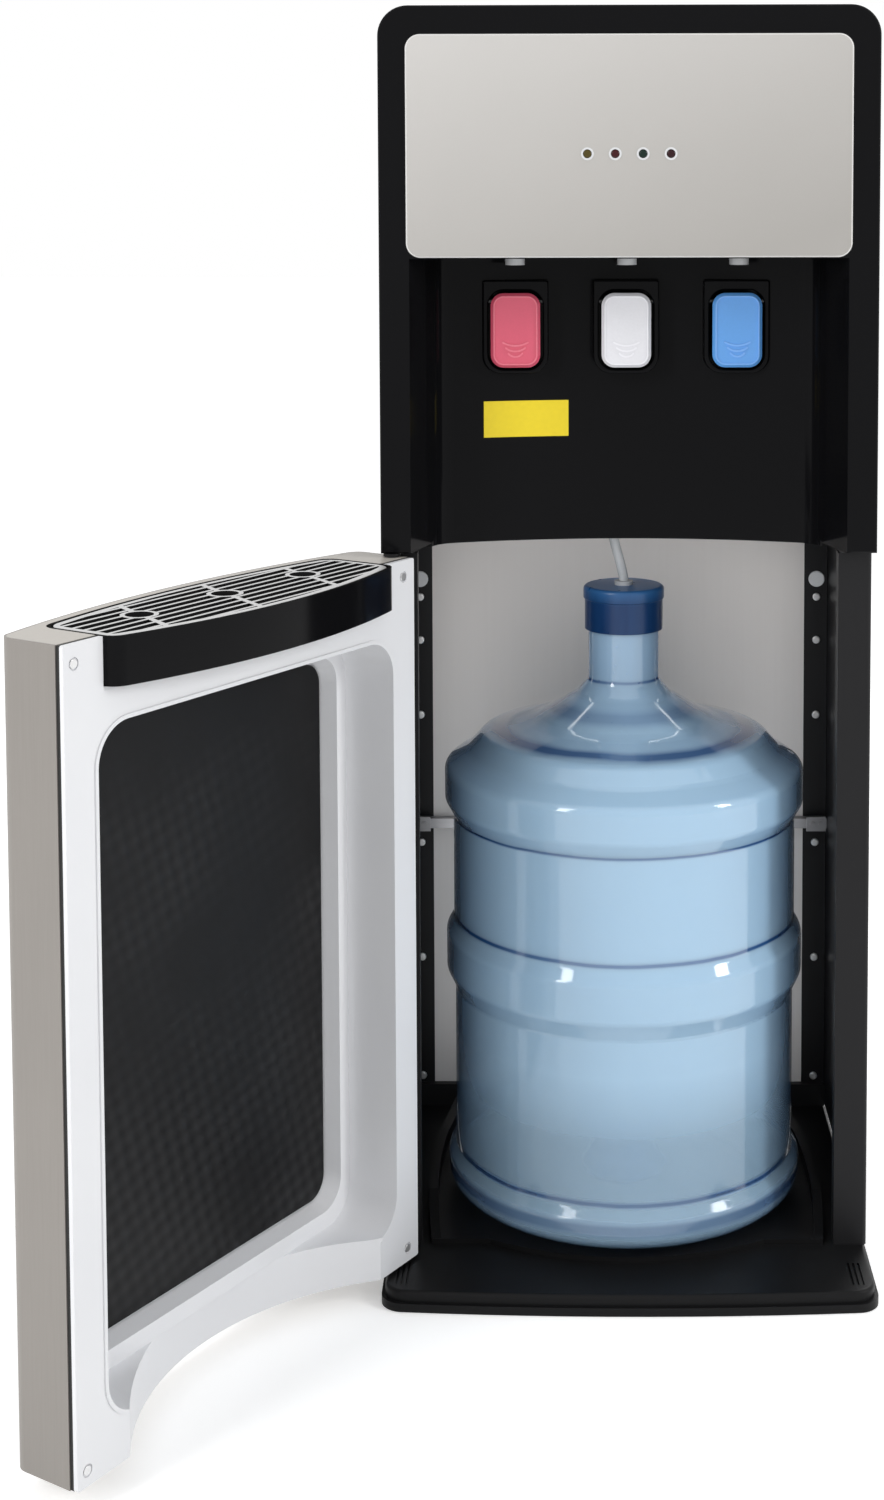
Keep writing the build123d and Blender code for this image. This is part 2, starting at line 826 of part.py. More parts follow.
def tray_outline(inset):
    wide = tray_half_width - inset
    narrow = tray_front_half_width - inset
    with BuildLine() as outline:
        Line((-narrow, tray_front), (-tray_nose_half_width, tray_front))
        # The nose under the bottle's foot stays inside the closed door's scoop.
        ThreePointArc(
            (-tray_nose_half_width, tray_front),
            (0, tray_front - tray_nose),
            (tray_nose_half_width, tray_front),
        )
        Line((tray_nose_half_width, tray_front), (narrow, tray_front))
        ThreePointArc((narrow, tray_front), (wide, -15), (narrow + 3, 60))
        Line((narrow + 3, 60), (narrow - 10, tray_back - inset))
        Line((narrow - 10, tray_back - inset), (-narrow + 10, tray_back - inset))
        Line((-narrow + 10, tray_back - inset), (-narrow - 3, 60))
        ThreePointArc((-narrow - 3, 60), (-wide, -15), (-narrow, tray_front))
    make_face(outline.edges())


with BuildPart() as bottle_tray:
    with BuildSketch(level(base_height)):
        tray_outline(0)
    extrude(amount=tray_floor)
    with BuildSketch(level(base_height + tray_floor)):
        tray_outline(0)
    extrude(amount=tray_rim_height)
    with BuildSketch(level(base_height + tray_floor)):
        tray_outline(tray_rim_width)
        with Locations((0, tray_front)):
            Rectangle(2 * (tray_half_width - 2 * tray_rim_width), 80)
    extrude(amount=tray_rim_height, mode=Mode.SUBTRACT)
    # The rim slopes down into the floor towards the front.
    with BuildSketch(Plane.YZ.offset(-tray_half_width - 1)):
        with BuildLine():
            Polyline(
                (tray_front - 1, tray_top + tray_rim_height + 1),
                (tray_front - 1, tray_top),
                (tray_front + 1, tray_top),
                (tray_front + 1 + tray_slope, tray_top + tray_rim_height + 1),
                close=True,
            )
        make_face()
    extrude(amount=2 * tray_half_width + 2, mode=Mode.SUBTRACT)
save(bottle_tray, "bottle_tray")

# Bottle, cap, suction tube and hose
bottle_base = tray_top + fit_gap
bottle_corners = [
    (bottle_foot_radius - 10, bottle_punt),
    (bottle_foot_radius, 0),
    (bottle_heel_radius, 9),
    (bottle_heel_radius, bottle_heel_top),
    (bottle_waist_radius, bottle_heel_top + 8),
    (bottle_waist_radius, middle_ring_bottom - ring_slope - 2),
    (bottle_ring_radius, middle_ring_bottom),
    (bottle_ring_radius, middle_ring_top),
    (bottle_body_radius, middle_ring_top + ring_slope - 2),
    (bottle_body_radius, upper_ring_bottom - ring_slope),
    (bottle_radius, upper_ring_bottom),
    (bottle_radius, upper_ring_top),
    (120, upper_ring_top + 11),
    (108, upper_ring_top + 24),
    (70, upper_ring_top + 34),
    (bottle_neck_radius + 9, upper_ring_top + 54),
    (bottle_neck_radius, upper_ring_top + 65),
]
bottle_rounds = [4, 5, 14, 6, 6, 6, 8, 8, 6, 6, 8, 8, 20, 12, 40, 16, 10]


def bottle_half(inner):
    """Half section of the bottle; the inner one is the outer one shrunk by the wall."""
    foot = bottle_base
    with BuildLine() as outline:
        side = FilletPolyline(
            (0, foot + bottle_punt),
            *[(r, foot + z) for r, z in bottle_corners],
            (bottle_neck_radius, foot + bottle_neck_top),
            radius=bottle_rounds,
        )
        Polyline(side @ 1, (0, foot + bottle_neck_top), side @ 0)
    make_face(outline.edges())
    if inner:
        mirror(about=Plane.YZ)
        offset(amount=-bottle_wall)
        with Locations((-2 * bottle_radius, foot + bottle_neck_top / 2)):
            Rectangle(4 * bottle_radius, 2 * bottle_neck_top, mode=Mode.SUBTRACT)


with BuildPart() as water_bottle:
    with BuildSketch(Plane.XZ):
        bottle_half(False)
    revolve(axis=Axis.Z)
    with BuildSketch(Plane.XZ):
        bottle_half(True)
    revolve(axis=Axis.Z, mode=Mode.SUBTRACT)
    with BuildSketch(level(bottle_base + bottle_neck_top + 1)):
        Circle(bottle_neck_radius - bottle_wall)
    extrude(amount=-2 * bottle_wall - 2, mode=Mode.SUBTRACT)
save(water_bottle, "water_bottle")

cap_top = bottle_base + bottle_neck_top + cap_wall + fit_gap
cap_bottom = cap_top - cap_height
with BuildPart() as bottle_cap:
    with BuildSketch(level(cap_bottom)):
        Circle(cap_radius)
    extrude(amount=cap_height)
    with BuildSketch(level(cap_top - cap_bead_height)):
        Circle(cap_radius + cap_bead)
    extrude(amount=cap_bead_height)
    fillet(bottle_cap.edges().group_by(Axis.Z)[-1], 3)
    fillet(bottle_cap.edges().filter_by_position(Axis.Z, cap_top - cap_bead_height - 0.1,
                                                 cap_top - cap_bead_height + 0.1).sort_by(Edge.length)[-1], 1)
    with BuildSketch(level(cap_bottom)):
        Circle(bottle_neck_radius + fit_gap)
    extrude(amount=cap_height - cap_wall, mode=Mode.SUBTRACT)
    with BuildSketch(level(cap_top)):
        Circle(tube_radius + pin_clearance)
    extrude(amount=-cap_height, mode=Mode.SUBTRACT)
save(bottle_cap, "bottle_cap")

tube_foot = bottle_base + tube_lift
with BuildPart() as suction_tube:
    with BuildSketch(level(tube_foot)):
        Circle(9)
    extrude(amount=10)
    with BuildSketch(level(tube_foot)):
        Circle(tube_radius)
    extrude(amount=cap_top + 3 - tube_foot)
    with BuildSketch(level(cap_top)):
        Circle(tube_radius + 3)
    extrude(amount=3)
    with BuildSketch(level(tube_foot)):
        Circle(tube_radius - 1)
    extrude(amount=cap_top + 3 - tube_foot, mode=Mode.SUBTRACT)
save(suction_tube, "suction_tube")

pump_bottom = deck_top + fit_gap
hose_start = (0, 0, cap_top + 3 + fit_gap)
hose_end = (pump_x, pump_y, pump_bottom - 0.2)
with BuildPart() as water_hose:
    with BuildLine():
        hose_path = FilletPolyline(
            hose_start,
            (0, 0, hose_start[2] + hose_straight),
            (pump_x, pump_y, hose_end[2] - hose_straight),
            hose_end,
            radius=hose_bend,
        )
    with BuildSketch(Plane(origin=hose_start, z_dir=(0, 0, 1))):
        Circle(hose_radius)
        Circle(hose_bore, mode=Mode.SUBTRACT)
    sweep(path=hose_path)
save(water_hose, "water_hose")

# Door skin, liner, foam, caps
def door_outline(inset, back):
    """Plan of the door, set in from its outside; back is the depth where it ends."""
    left = door_start + inset
    right = door_end - inset
    front = front_edge_v + inset
    with BuildLine() as outline:
        Polyline((right, front), (right, rim_v - back), (left, rim_v - back), (left, front))
        ThreePointArc((left, front), (door_middle, front - door_bow), (right, front))
    make_face(outline.edges())
    fillet(vertices().group_by(Axis.Y)[0], door_edge_radius - inset)


def drip_outline(inset, corner=drip_corner):
    """Plan of the drip tray: bowed with the skin in front, bulging past the rim behind."""
    left = door_middle - drip_half_length + inset
    right = door_middle + drip_half_length - inset
    sag = door_bow * (1 - (drip_half_length / (door_width / 2)) ** 2)
    front_corner = front_edge_v - sag + skin_sheet + drip_front_inset + inset
    front_middle = front_middle_v + skin_sheet + drip_front_inset + inset
    back_corner = rim_v + drip_end_bulge - inset
    back_middle = rim_v + drip_bulge - inset
    with BuildLine() as outline:
        Line((left, front_corner), (left, back_corner))
        ThreePointArc((left, back_corner), (door_middle, back_middle), (right, back_corner))
        Line((right, back_corner), (right, front_corner))
        ThreePointArc((right, front_corner), (door_middle, front_middle), (left, front_corner))
    make_face(outline.edges())
    fillet(vertices(), corner - inset)


def cut_scoop(growth, bottom, top):
    """The upright concave scoop that clears the bottle at the door's foot."""
    with BuildSketch(door_level(bottom)) as scoop:
        with Locations((door_middle, rim_v + scoop_radius - scoop_depth)):
            Circle(scoop_radius + growth)
    extrude(scoop.sketch, amount=top - bottom, mode=Mode.SUBTRACT)


def cut_bush_seats():
    """Room in the door's ends for the hinge bushes."""
    for low in (door_bottom, door_top - pin_reach):
        with BuildSketch(door_level(low)) as seat:
            Circle(hinge_bush_radius)
        extrude(seat.sketch, amount=pin_reach, mode=Mode.SUBTRACT)


def pocket_shape(growth, mode):
    """The liner's hollow: a deep frame, then a niche that holds the black panel."""
    left = door_start + rim_flat - growth
    right = door_end - rim_flat + growth
    bottom = pocket_bottom - growth
    top = pocket_top + growth
    for depth_start, depth_end, inset_start, inset_end, low, high, corner in (
        (-1, pocket_depth + growth, 0, pocket_lead, bottom, top, pocket_corner),
        (pocket_depth - 1, niche_depth + growth, niche_inset, niche_inset + pocket_lead, niche_bottom - growth,
         niche_top + growth, niche_corner),
    ):
        sections = []
        for depth, inset, drop in ((depth_start, inset_start, 0), (depth_end, inset_end, pocket_lead)):
            with BuildSketch(door_face(depth)) as section:
                with Locations(((left + right) / 2, (low + high) / 2)):
                    RectangleRounded(right - left - 2 * inset, high - low - 2 * drop, corner + growth)
            sections.append(section.sketch)
        loft(sections, mode=mode)


# The scoop reaches past the pocket's sloping bottom.
scoop_top = pocket_bottom + pocket_lead + 1
skin_back = rim_plate + seal_depth
well_floor = door_top - drip_height - fit_gap
cap_floor = 3
with BuildPart() as door_skin:
    with BuildSketch(door_level(door_bottom)):
        door_outline(0, skin_back)
    extrude(amount=door_top - door_bottom)
    with BuildSketch(door_level(door_bottom)):
        door_outline(skin_sheet, skin_back - skin_sheet - 1)
    extrude(amount=door_top - door_bottom, mode=Mode.SUBTRACT)
save(door_skin, "door_skin")

with BuildPart() as door_bottom_cap:
    with BuildSketch(door_level(door_bottom)):
        door_outline(skin_sheet, skin_back)
    extrude(amount=6)
    cut_scoop(liner_wall, door_bottom, door_bottom + 6)
    cut_bush_seats()
save(door_bottom_cap, "door_bottom_cap")

with BuildPart() as door_top_cap:
    with BuildSketch(door_level(well_floor - cap_floor)):
        door_outline(skin_sheet, skin_back)
    extrude(amount=door_top - well_floor + cap_floor)
    with BuildSketch(door_level(well_floor)):
        drip_outline(-fit_gap)
    extrude(amount=drip_height + 1, mode=Mode.SUBTRACT)
    cut_bush_seats()
save(door_top_cap, "door_top_cap")

with BuildPart() as door_seal:
    with BuildSketch(door_face(skin_back)):
        with Locations((door_middle, (door_bottom + door_top) / 2)):
            Rectangle(door_width - 1.6, door_top - door_bottom - 0.6)
            Rectangle(door_width - 12, door_top - door_bottom - 12, mode=Mode.SUBTRACT)
    extrude(amount=-seal_depth)
    cut_scoop(liner_wall, door_bottom, door_bottom + 30)
    with BuildSketch(door_level(well_floor)):
        drip_outline(-fit_gap)
    extrude(amount=drip_height + 1, mode=Mode.SUBTRACT)
save(door_seal, "door_seal")

with BuildPart() as door_liner:
    with BuildSketch(door_face(rim_plate)):
        with Locations((door_middle, (door_bottom + door_top) / 2)):
            RectangleRounded(door_width - 0.8, door_top - door_bottom - 0.4, 1.5)
    extrude(amount=-rim_plate)
    pocket_shape(liner_wall, Mode.ADD)
    with BuildSketch(door_level(door_bottom + liner_lift)) as scoop_wall:
        with Locations((door_middle, rim_v + scoop_radius - scoop_depth)):
            Circle(scoop_radius + liner_wall)
        with Locations((door_middle, rim_v + 2 * scoop_radius)):
            Rectangle(4 * scoop_radius, 4 * scoop_radius, mode=Mode.SUBTRACT)
    extrude(amount=scoop_top + liner_wall - door_bottom - liner_lift)
    pocket_shape(0, Mode.SUBTRACT)
    cut_scoop(0, door_bottom, scoop_top)
    with BuildSketch(door_level(well_floor)):
        drip_outline(-fit_gap)
    extrude(amount=drip_height + 1, mode=Mode.SUBTRACT)
    screw_places = [
        (door_start + 13, door_bottom + 10), (door_end - 9, door_bottom + 10),
        (door_start + 13, door_top - 12), (door_end - 9, door_top - 12),
    ]
    with BuildSketch(door_face(-1)):
        with Locations(*screw_places):
            Circle(liner_screw_radius + 1)
    extrude(amount=2, mode=Mode.SUBTRACT)
save(door_liner, "door_liner")

with BuildPart() as liner_screws:
    with BuildSketch(door_face(1)):
        with Locations(*screw_places):
            Circle(liner_screw_radius)
    extrude(amount=-1.2)
    fillet(liner_screws.edges(), 0.4)
save(liner_screws, "liner_screws")

with BuildPart() as foam_panel:
    foam_left = door_start + rim_flat + niche_inset + foam_inset
    foam_right = door_end - rim_flat - niche_inset - foam_inset
    foam_bottom = niche_bottom + foam_inset
    foam_top = niche_top - foam_inset
    with BuildSketch(door_face(niche_depth)):
        with Locations(((foam_left + foam_right) / 2, (foam_bottom + foam_top) / 2)):
            RectangleRounded(foam_right - foam_left, foam_top - foam_bottom, niche_corner - 4)
    extrude(amount=-foam_thickness)
save(foam_panel, "foam_panel")

with BuildPart() as door_insulation:
    with BuildSketch(door_level(door_bottom + 6)):
        door_outline(skin_sheet, skin_back + 1)
    extrude(amount=well_floor - cap_floor - door_bottom - 6)
    pocket_shape(liner_wall, Mode.SUBTRACT)
    cut_scoop(liner_wall, door_bottom, scoop_top + liner_wall)
    cut_bush_seats()
save(door_insulation, "door_insulation")

# Catch magnets behind the liner's free edge, opposite the steel pillar.
magnet_u = door_end - magnet_inset
with BuildPart() as door_magnets:
    for height in (door_bottom + magnet_rise, door_top - magnet_drop):
        with BuildSketch(door_face(rim_plate)):
            with Locations((magnet_u, height)):
                Circle(magnet_radius)
        extrude(amount=magnet_thickness)
save(door_magnets, "door_magnets")

# Hinge: a plate with a pin above and below, running in bushes in the door's ends.


upper_plate_bottom = head_bottom - hinge_plate - fit_gap
with BuildPart() as hinge_plates:
    for plate_bottom, pin_end in (
        (upper_plate_bottom, door_top - pin_reach),
        (base_height, door_bottom + pin_reach),
    ):
        with BuildSketch(level(plate_bottom)):
            with Locations((hinge_x, hinge_y)):
                Circle(hinge_plate_half_width)
            with Locations((hinge_x, (hinge_y + pillar_front) / 2)):
                Rectangle(2 * hinge_plate_half_width, pillar_front - hinge_y)
        extrude(amount=hinge_plate)
        with BuildSketch(level(plate_bottom)):
            with Locations((hinge_x, hinge_y)):
                Circle(hinge_pin_radius)
        extrude(amount=pin_end - plate_bottom)
save(hinge_plates, "hinge_plates")

with BuildPart() as hinge_bushes:
    for low in (door_bottom, door_top - pin_reach):
        with BuildSketch(door_level(low)):
            with Locations((0, 0)):
                Circle(hinge_bush_radius)
                Circle(hinge_pin_radius + pin_clearance, mode=Mode.SUBTRACT)
        extrude(amount=pin_reach)
save(hinge_bushes, "hinge_bushes")

# Drip tray and grille
drip_bottom = door_top - drip_height
grille_bottom = door_top - grille_thickness
with BuildPart() as drip_tray:
    with BuildSketch(door_level(drip_bottom)):
        drip_outline(0)
    extrude(amount=drip_height)
    with BuildSketch(door_level(drip_bottom + drip_wall)):
        drip_outline(drip_wall)
    extrude(amount=drip_height, mode=Mode.SUBTRACT)
    # A ledge inside the wall carries the grille.
    with BuildSketch(door_level(grille_bottom - fit_gap - 2)):
        drip_outline(drip_wall)
    extrude(amount=2)
    with BuildSketch(door_level(grille_bottom - fit_gap - 2)):
        drip_outline(drip_wall + 2.5)
    extrude(amount=2, mode=Mode.SUBTRACT)
save(drip_tray, "drip_tray")

with BuildPart() as drip_grille:
    with BuildSketch(door_level(grille_bottom)):
        drip_outline(drip_wall + fit_gap, grille_corner)
    extrude(amount=grille_thickness)
    fillet(drip_grille.edges().group_by(Axis.Z)[-1], 0.8)
    with BuildSketch(door_level(grille_bottom)) as slots:
        drip_outline(drip_wall + grille_margin)
        for row in range(grille_rows + 1):
            v = front_middle_v + grille_first_row + (row - 0.5) * grille_pitch
            with Locations((door_middle, v)):
                Rectangle(2 * drip_half_length, grille_pitch - grille_slot, mode=Mode.SUBTRACT)
        for x in tap_places:
            with Locations((door_middle + x, rim_v - door_thickness / 2)):
                Rectangle(grille_rib, 2 * drip_half_length, rotation=-grille_rib_angle, mode=Mode.SUBTRACT)
    extrude(amount=grille_thickness, mode=Mode.SUBTRACT)
    hole_v = grille_hole_y - hinge_y
    for x in tap_places:
        with BuildSketch(door_level(grille_bottom)):
            with Locations((door_middle + x, hole_v)):
                Circle(grille_hole_radius + grille_hole_rim)
        extrude(amount=grille_thickness)
        with BuildSketch(door_level(grille_bottom)):
            with Locations((door_middle + x, hole_v)):
                Circle(grille_hole_radius)
        extrude(amount=grille_thickness, mode=Mode.SUBTRACT)
save(drip_grille, "drip_grille")

# Water works in the head


valve_inlet_y = spout_y + valve_depth / 2 + 9 + fit_gap
valve_inlet_z = recess_top + moulding_wall + valve_height - 10
tank_bottom = deck_top + tank_foot
hot_tank_top = valve_inlet_z - hot_pipe_rise
cold_tank_top = valve_inlet_z - cold_pipe_rise
drain_end = cabinet_rear + 6


def tank_profile(x, radius, top, inset):
    """Half section of a tank, set in from its outside."""
    wide = radius - inset
    tall = top - tank_bottom - 2 * inset
    with Locations((x + wide / 2, (top + tank_bottom) / 2)):
        Rectangle(wide, tall)
    fillet(vertices().group_by(Axis.X)[-1], tank_round - inset)


def tank(x, radius, top, drained):
    """A hollow tank on three feet, with its port in the middle of its top."""
    with BuildPart() as vessel:
        with BuildSketch(facing(tank_y)) as outside:
            tank_profile(x, radius, top, 0)
        revolve(outside.sketch, axis=Axis((x, tank_y, 0), (0, 0, 1)))
        with BuildSketch(level(deck_top)) as feet:
            with Locations((x, tank_y)):
                with PolarLocations(radius - 18, 3):
                    Circle(5)
        extrude(feet.sketch, amount=tank_foot + tank_wall)
        if drained:
            with BuildSketch(facing(drain_end)) as spigot:
                with Locations((x, drain_z)):
                    Circle(drain_radius)
            extrude(spigot.sketch, amount=drain_end - tank_y)
        with BuildSketch(facing(tank_y)) as inside:
            tank_profile(x, radius, top, tank_wall)
        revolve(inside.sketch, axis=Axis((x, tank_y, 0), (0, 0, 1)), mode=Mode.SUBTRACT)
        with BuildSketch(level(top + 1)) as port:
            with Locations((x, tank_y)):
                Circle(tank_port)
        extrude(port.sketch, amount=-tank_wall - 2, mode=Mode.SUBTRACT)
        if drained:
            with BuildSketch(facing(drain_end + 1)) as bore:
                with Locations((x, drain_z)):
                    Circle(drain_bore)
            extrude(bore.sketch, amount=drain_end + 1 - tank_y - radius / 2, mode=Mode.SUBTRACT)
    return vessel


hot_tank = tank(hot_tank_x, hot_tank_radius, hot_tank_top, True)
cold_tank = tank(cold_tank_x, cold_tank_radius, cold_tank_top, False)
save(hot_tank, "hot_tank")
save(cold_tank, "cold_tank")


block_back = tank_y + cold_tank_radius + 16
sink_base = 5
fan_front = rear_panel_front - fan_depth
sink_depth = fan_front - block_back
with BuildPart() as heat_sink:
    with BuildSketch(level(fan_height - 20)):
        with Locations((cold_tank_x, block_back - 20)):
            Rectangle(40, 40)
        with Locations((cold_tank_x, tank_y)):
            Circle(cold_tank_radius + 0.05, mode=Mode.SUBTRACT)
    extrude(amount=40)
    with BuildSketch(level(fan_height - fan_size / 2)):
        with Locations((fan_x, block_back + sink_base / 2)):
            Rectangle(fan_size, sink_base)
        with Locations((fan_x, block_back + sink_depth / 2)):
            with GridLocations((fan_size - 2) / (sink_fins - 1), 1, sink_fins, 1):
                Rectangle(1.6, sink_depth)
    extrude(amount=fan_size)
save(heat_sink, "heat_sink")

fan_bore = fan_size / 2 - 3
with BuildPart() as fan_frame:
    with BuildSketch(facing(rear_panel_front)):
        with Locations((fan_x, fan_height)):
            RectangleRounded(fan_size, fan_size, 5)
            Circle(fan_bore, mode=Mode.SUBTRACT)
    extrude(amount=fan_depth)
    with BuildSketch(facing(rear_panel_front)):
        with Locations((fan_x, fan_height)):
            Rectangle(2 * fan_bore + 2, 5)
            Rectangle(5, 2 * fan_bore + 2)
            Circle(fan_hub_radius)
    extrude(amount=3)
    with BuildSketch(facing(rear_panel_front)):
        with Locations((fan_x, fan_height)):
            Circle(2)
    extrude(amount=fan_depth - 6)
save(fan_frame, "fan_frame")

rotor_back = rear_panel_front - 4
rotor_depth = fan_depth - 8
with BuildPart() as fan_rotor:
    with BuildSketch(facing(rotor_back)):
        with Locations((fan_x, fan_height)):
            Circle(fan_hub_radius)
    extrude(amount=rotor_depth)
    with BuildSketch(facing(rotor_back - 4)):
        with Locations((fan_x, fan_height)):
            with PolarLocations((fan_hub_radius + fan_bore - fan_tip_gap) / 2 - 1, fan_blades):
                Rectangle(fan_bore - fan_tip_gap - fan_hub_radius + 2, 7, rotation=14)
    extrude(amount=rotor_depth - 8)
    with BuildSketch(facing(rotor_back)):
        with Locations((fan_x, fan_height)):
            Circle(2 + pin_clearance)
    extrude(amount=rotor_depth, mode=Mode.SUBTRACT)
save(fan_rotor, "fan_rotor")

with BuildPart() as pump:
    with BuildSketch(level(pump_bottom)):
        with Locations((pump_x, pump_y)):
            RectangleRounded(pump_width, pump_depth, 6)
    extrude(amount=22)
    with BuildSketch(level(pump_bottom + 22)):
        with Locations((pump_x, pump_y)):
            Circle(18)
    extrude(amount=pump_height - 22)
    fillet(pump.edges().group_by(Axis.Z)[-1], 3)
    with BuildSketch(level(pump_bottom)):
        with Locations((pump_x, pump_y)):
            Circle(hose_radius)
    extrude(amount=6, mode=Mode.SUBTRACT)
    with BuildSketch(Plane.YZ.offset(pump_x)):
        with Locations((pump_y, pump_bottom + 14)):
            Circle(pipe_radius)
    extrude(amount=pump_width / 2 + 8)
save(pump, "pump")


pump_outlet_x = pump_x + pump_width / 2 + 8 + fit_gap
pipe_routes = (
    (
        (hot_tank_x, tank_y, hot_tank_top + fit_gap),
        (hot_tank_x, tank_y, valve_inlet_z),
        (tap_places[0], 10, valve_inlet_z),
        (tap_places[0], valve_inlet_y, valve_inlet_z),
    ),
    (
        (pump_outlet_x, pump_y, pump_bottom + 14),
        (pump_outlet_x + 16, pump_y, pump_bottom + 14),
        (pump_outlet_x + 14, pump_y - 3, valve_inlet_z - pipe_slope_start),
        (tap_places[1], pump_y - 5, valve_inlet_z - pipe_slope_end),
        (tap_places[1], pump_y - 3, valve_inlet_z),
        (tap_places[1], valve_inlet_y, valve_inlet_z),
    ),
    (
        (cold_tank_x, tank_y, cold_tank_top + fit_gap),
        (cold_tank_x, tank_y, valve_inlet_z),
        (tap_places[2], 10, valve_inlet_z),
        (tap_places[2], valve_inlet_y, valve_inlet_z),
    ),
)
with BuildPart() as water_pipes:
    for route in pipe_routes:
        with BuildLine() as pipe_line:
            FilletPolyline(*route, radius=pipe_bend)
        with BuildSketch(Plane(origin=route[0], z_dir=Vector(*route[1]) - Vector(*route[0]))) as pipe_section:
            Circle(pipe_radius)
            Circle(pipe_bore, mode=Mode.SUBTRACT)
        sweep(pipe_section.sketch, path=pipe_line.line)
save(water_pipes, "water_pipes")

# Rear services
with BuildPart() as power_inlet:
    with BuildSketch(facing(cabinet_rear + 2.2)):
        with Locations((inlet_x, inlet_z)):
            Rectangle(inlet_width + 20, inlet_height + 4)
    extrude(amount=2.2 - 0.1)
    with BuildSketch(facing(cabinet_rear + 1)):
        with Locations((inlet_x, inlet_z)):
            Rectangle(inlet_width, inlet_height)
    extrude(amount=inlet_depth + 2)
    with BuildSketch(facing(cabinet_rear + 3)):
        with Locations((inlet_x, inlet_z)):
            Rectangle(inlet_width - 4, inlet_height - 4)
    extrude(amount=inlet_depth + 2, mode=Mode.SUBTRACT)
    with BuildSketch(facing(cabinet_rear - inlet_depth + 1)):
        with Locations((inlet_x - 6, inlet_z - 2), (inlet_x, inlet_z + 3), (inlet_x + 6, inlet_z - 2)):
            Rectangle(1.6, 3.6)
    extrude(amount=-inlet_pin_length)
save(power_inlet, "power_inlet")

rocker_pivot_y = cabinet_rear - 4
with BuildPart() as switch_housing:
    with BuildSketch(facing(cabinet_rear + 1.6)):
        with Locations((switch_x, switch_z)):
            RectangleRounded(switch_pitch + rocker_width + 14, rocker_length + 16, 3)
    extrude(amount=1.5)
    with BuildSketch(facing(cabinet_rear + 1)):
        with Locations(*switch_places):
            Rectangle(rocker_width + 5, rocker_length + 5)
    extrude(amount=16)
    with BuildSketch(facing(cabinet_rear + 3)):
        with Locations(*switch_places):
            Rectangle(rocker_width + 2 * fit_gap, rocker_length + 2 * fit_gap)
    extrude(amount=16, mode=Mode.SUBTRACT)
    for x, z in switch_places:
        with BuildSketch(Plane.YZ.offset(x - rocker_width / 2 - 2)):
            with Locations((rocker_pivot_y, z)):
                Circle(1.5 + pin_clearance)
        extrude(amount=rocker_width + 4, mode=Mode.SUBTRACT)
save(switch_housing, "switch_housing")


def rocker(place):
    x, z = place
    with BuildPart() as button:
        with BuildSketch(Plane.YZ.offset(x - rocker_width / 2)):
            with BuildLine():
                half = rocker_length / 2 - 1.4
                Polyline(
                    (rocker_pivot_y - 3, z - half + 3),
                    (cabinet_rear + 0.4, z - half),
                    (cabinet_rear + 1.8, z),
                    (cabinet_rear + 4.4, z + half),
                    (rocker_pivot_y - 3, z + half - 3),
                    close=True,
                )
            make_face()
        extrude(amount=rocker_width)
        with BuildSketch(Plane.YZ.offset(x - rocker_width / 2 - 1.6)):
            with Locations((rocker_pivot_y, z)):
                Circle(1.5)
        extrude(amount=rocker_width + 3.2)
    return button


save(rocker(switch_places[0]), "switch_hot")
save(rocker(switch_places[1]), "switch_cold")

with BuildPart() as drain_plug:
    with BuildSketch(facing(drain_end + 8)):
        with Locations((drain_x, drain_z)):
            RegularPolygon(10, 8)
    extrude(amount=8 - 0.1)
save(drain_plug, "drain_plug")
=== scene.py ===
import json
import math

import bmesh
import bpy
from mathutils import Matrix, Vector


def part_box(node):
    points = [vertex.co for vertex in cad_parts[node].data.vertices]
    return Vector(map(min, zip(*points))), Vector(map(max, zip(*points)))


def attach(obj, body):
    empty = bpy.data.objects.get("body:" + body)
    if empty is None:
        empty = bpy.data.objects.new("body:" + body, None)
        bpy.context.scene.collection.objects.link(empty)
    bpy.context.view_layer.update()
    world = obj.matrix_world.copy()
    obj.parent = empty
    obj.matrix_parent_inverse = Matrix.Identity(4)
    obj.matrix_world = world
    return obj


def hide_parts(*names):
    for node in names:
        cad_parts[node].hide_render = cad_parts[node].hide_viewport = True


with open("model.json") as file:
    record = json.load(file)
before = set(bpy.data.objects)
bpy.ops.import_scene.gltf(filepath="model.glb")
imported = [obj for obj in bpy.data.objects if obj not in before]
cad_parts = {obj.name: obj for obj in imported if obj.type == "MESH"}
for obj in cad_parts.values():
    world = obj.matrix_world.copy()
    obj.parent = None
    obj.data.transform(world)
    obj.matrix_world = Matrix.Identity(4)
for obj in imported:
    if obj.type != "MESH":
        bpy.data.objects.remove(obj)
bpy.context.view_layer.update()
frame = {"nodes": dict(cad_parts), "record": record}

nodes = frame["nodes"]
print("frame loaded,", len(nodes), "nodes")


# shader helpers

class Value:
    # wraps an output so that sums on it add Math nodes
    def __init__(self, shader, out):
        self.shader = shader
        self.out = out

    def calc(self, operation, first, second=0.0):
        return self.shader.node("ShaderNodeMath", {"operation": operation}, {0: first, 1: second})

    def __add__(self, other):
        return self.calc("ADD", self, other)

    def __radd__(self, other):
        return self.calc("ADD", other, self)

    def __sub__(self, other):
        return self.calc("SUBTRACT", self, other)

    def __rsub__(self, other):
        return self.calc("SUBTRACT", other, self)

    def __mul__(self, other):
        return self.calc("MULTIPLY", self, other)

    def __rmul__(self, other):
        return self.calc("MULTIPLY", other, self)

    def __pow__(self, other):
        return self.calc("POWER", self, other)

    def size(self):
        # the value without its sign
        return self.shader.node("ShaderNodeMath", {"operation": "ABSOLUTE"}, {0: self})

    def clamped(self):
        return self.shader.node("ShaderNodeClamp", {}, {0: self})


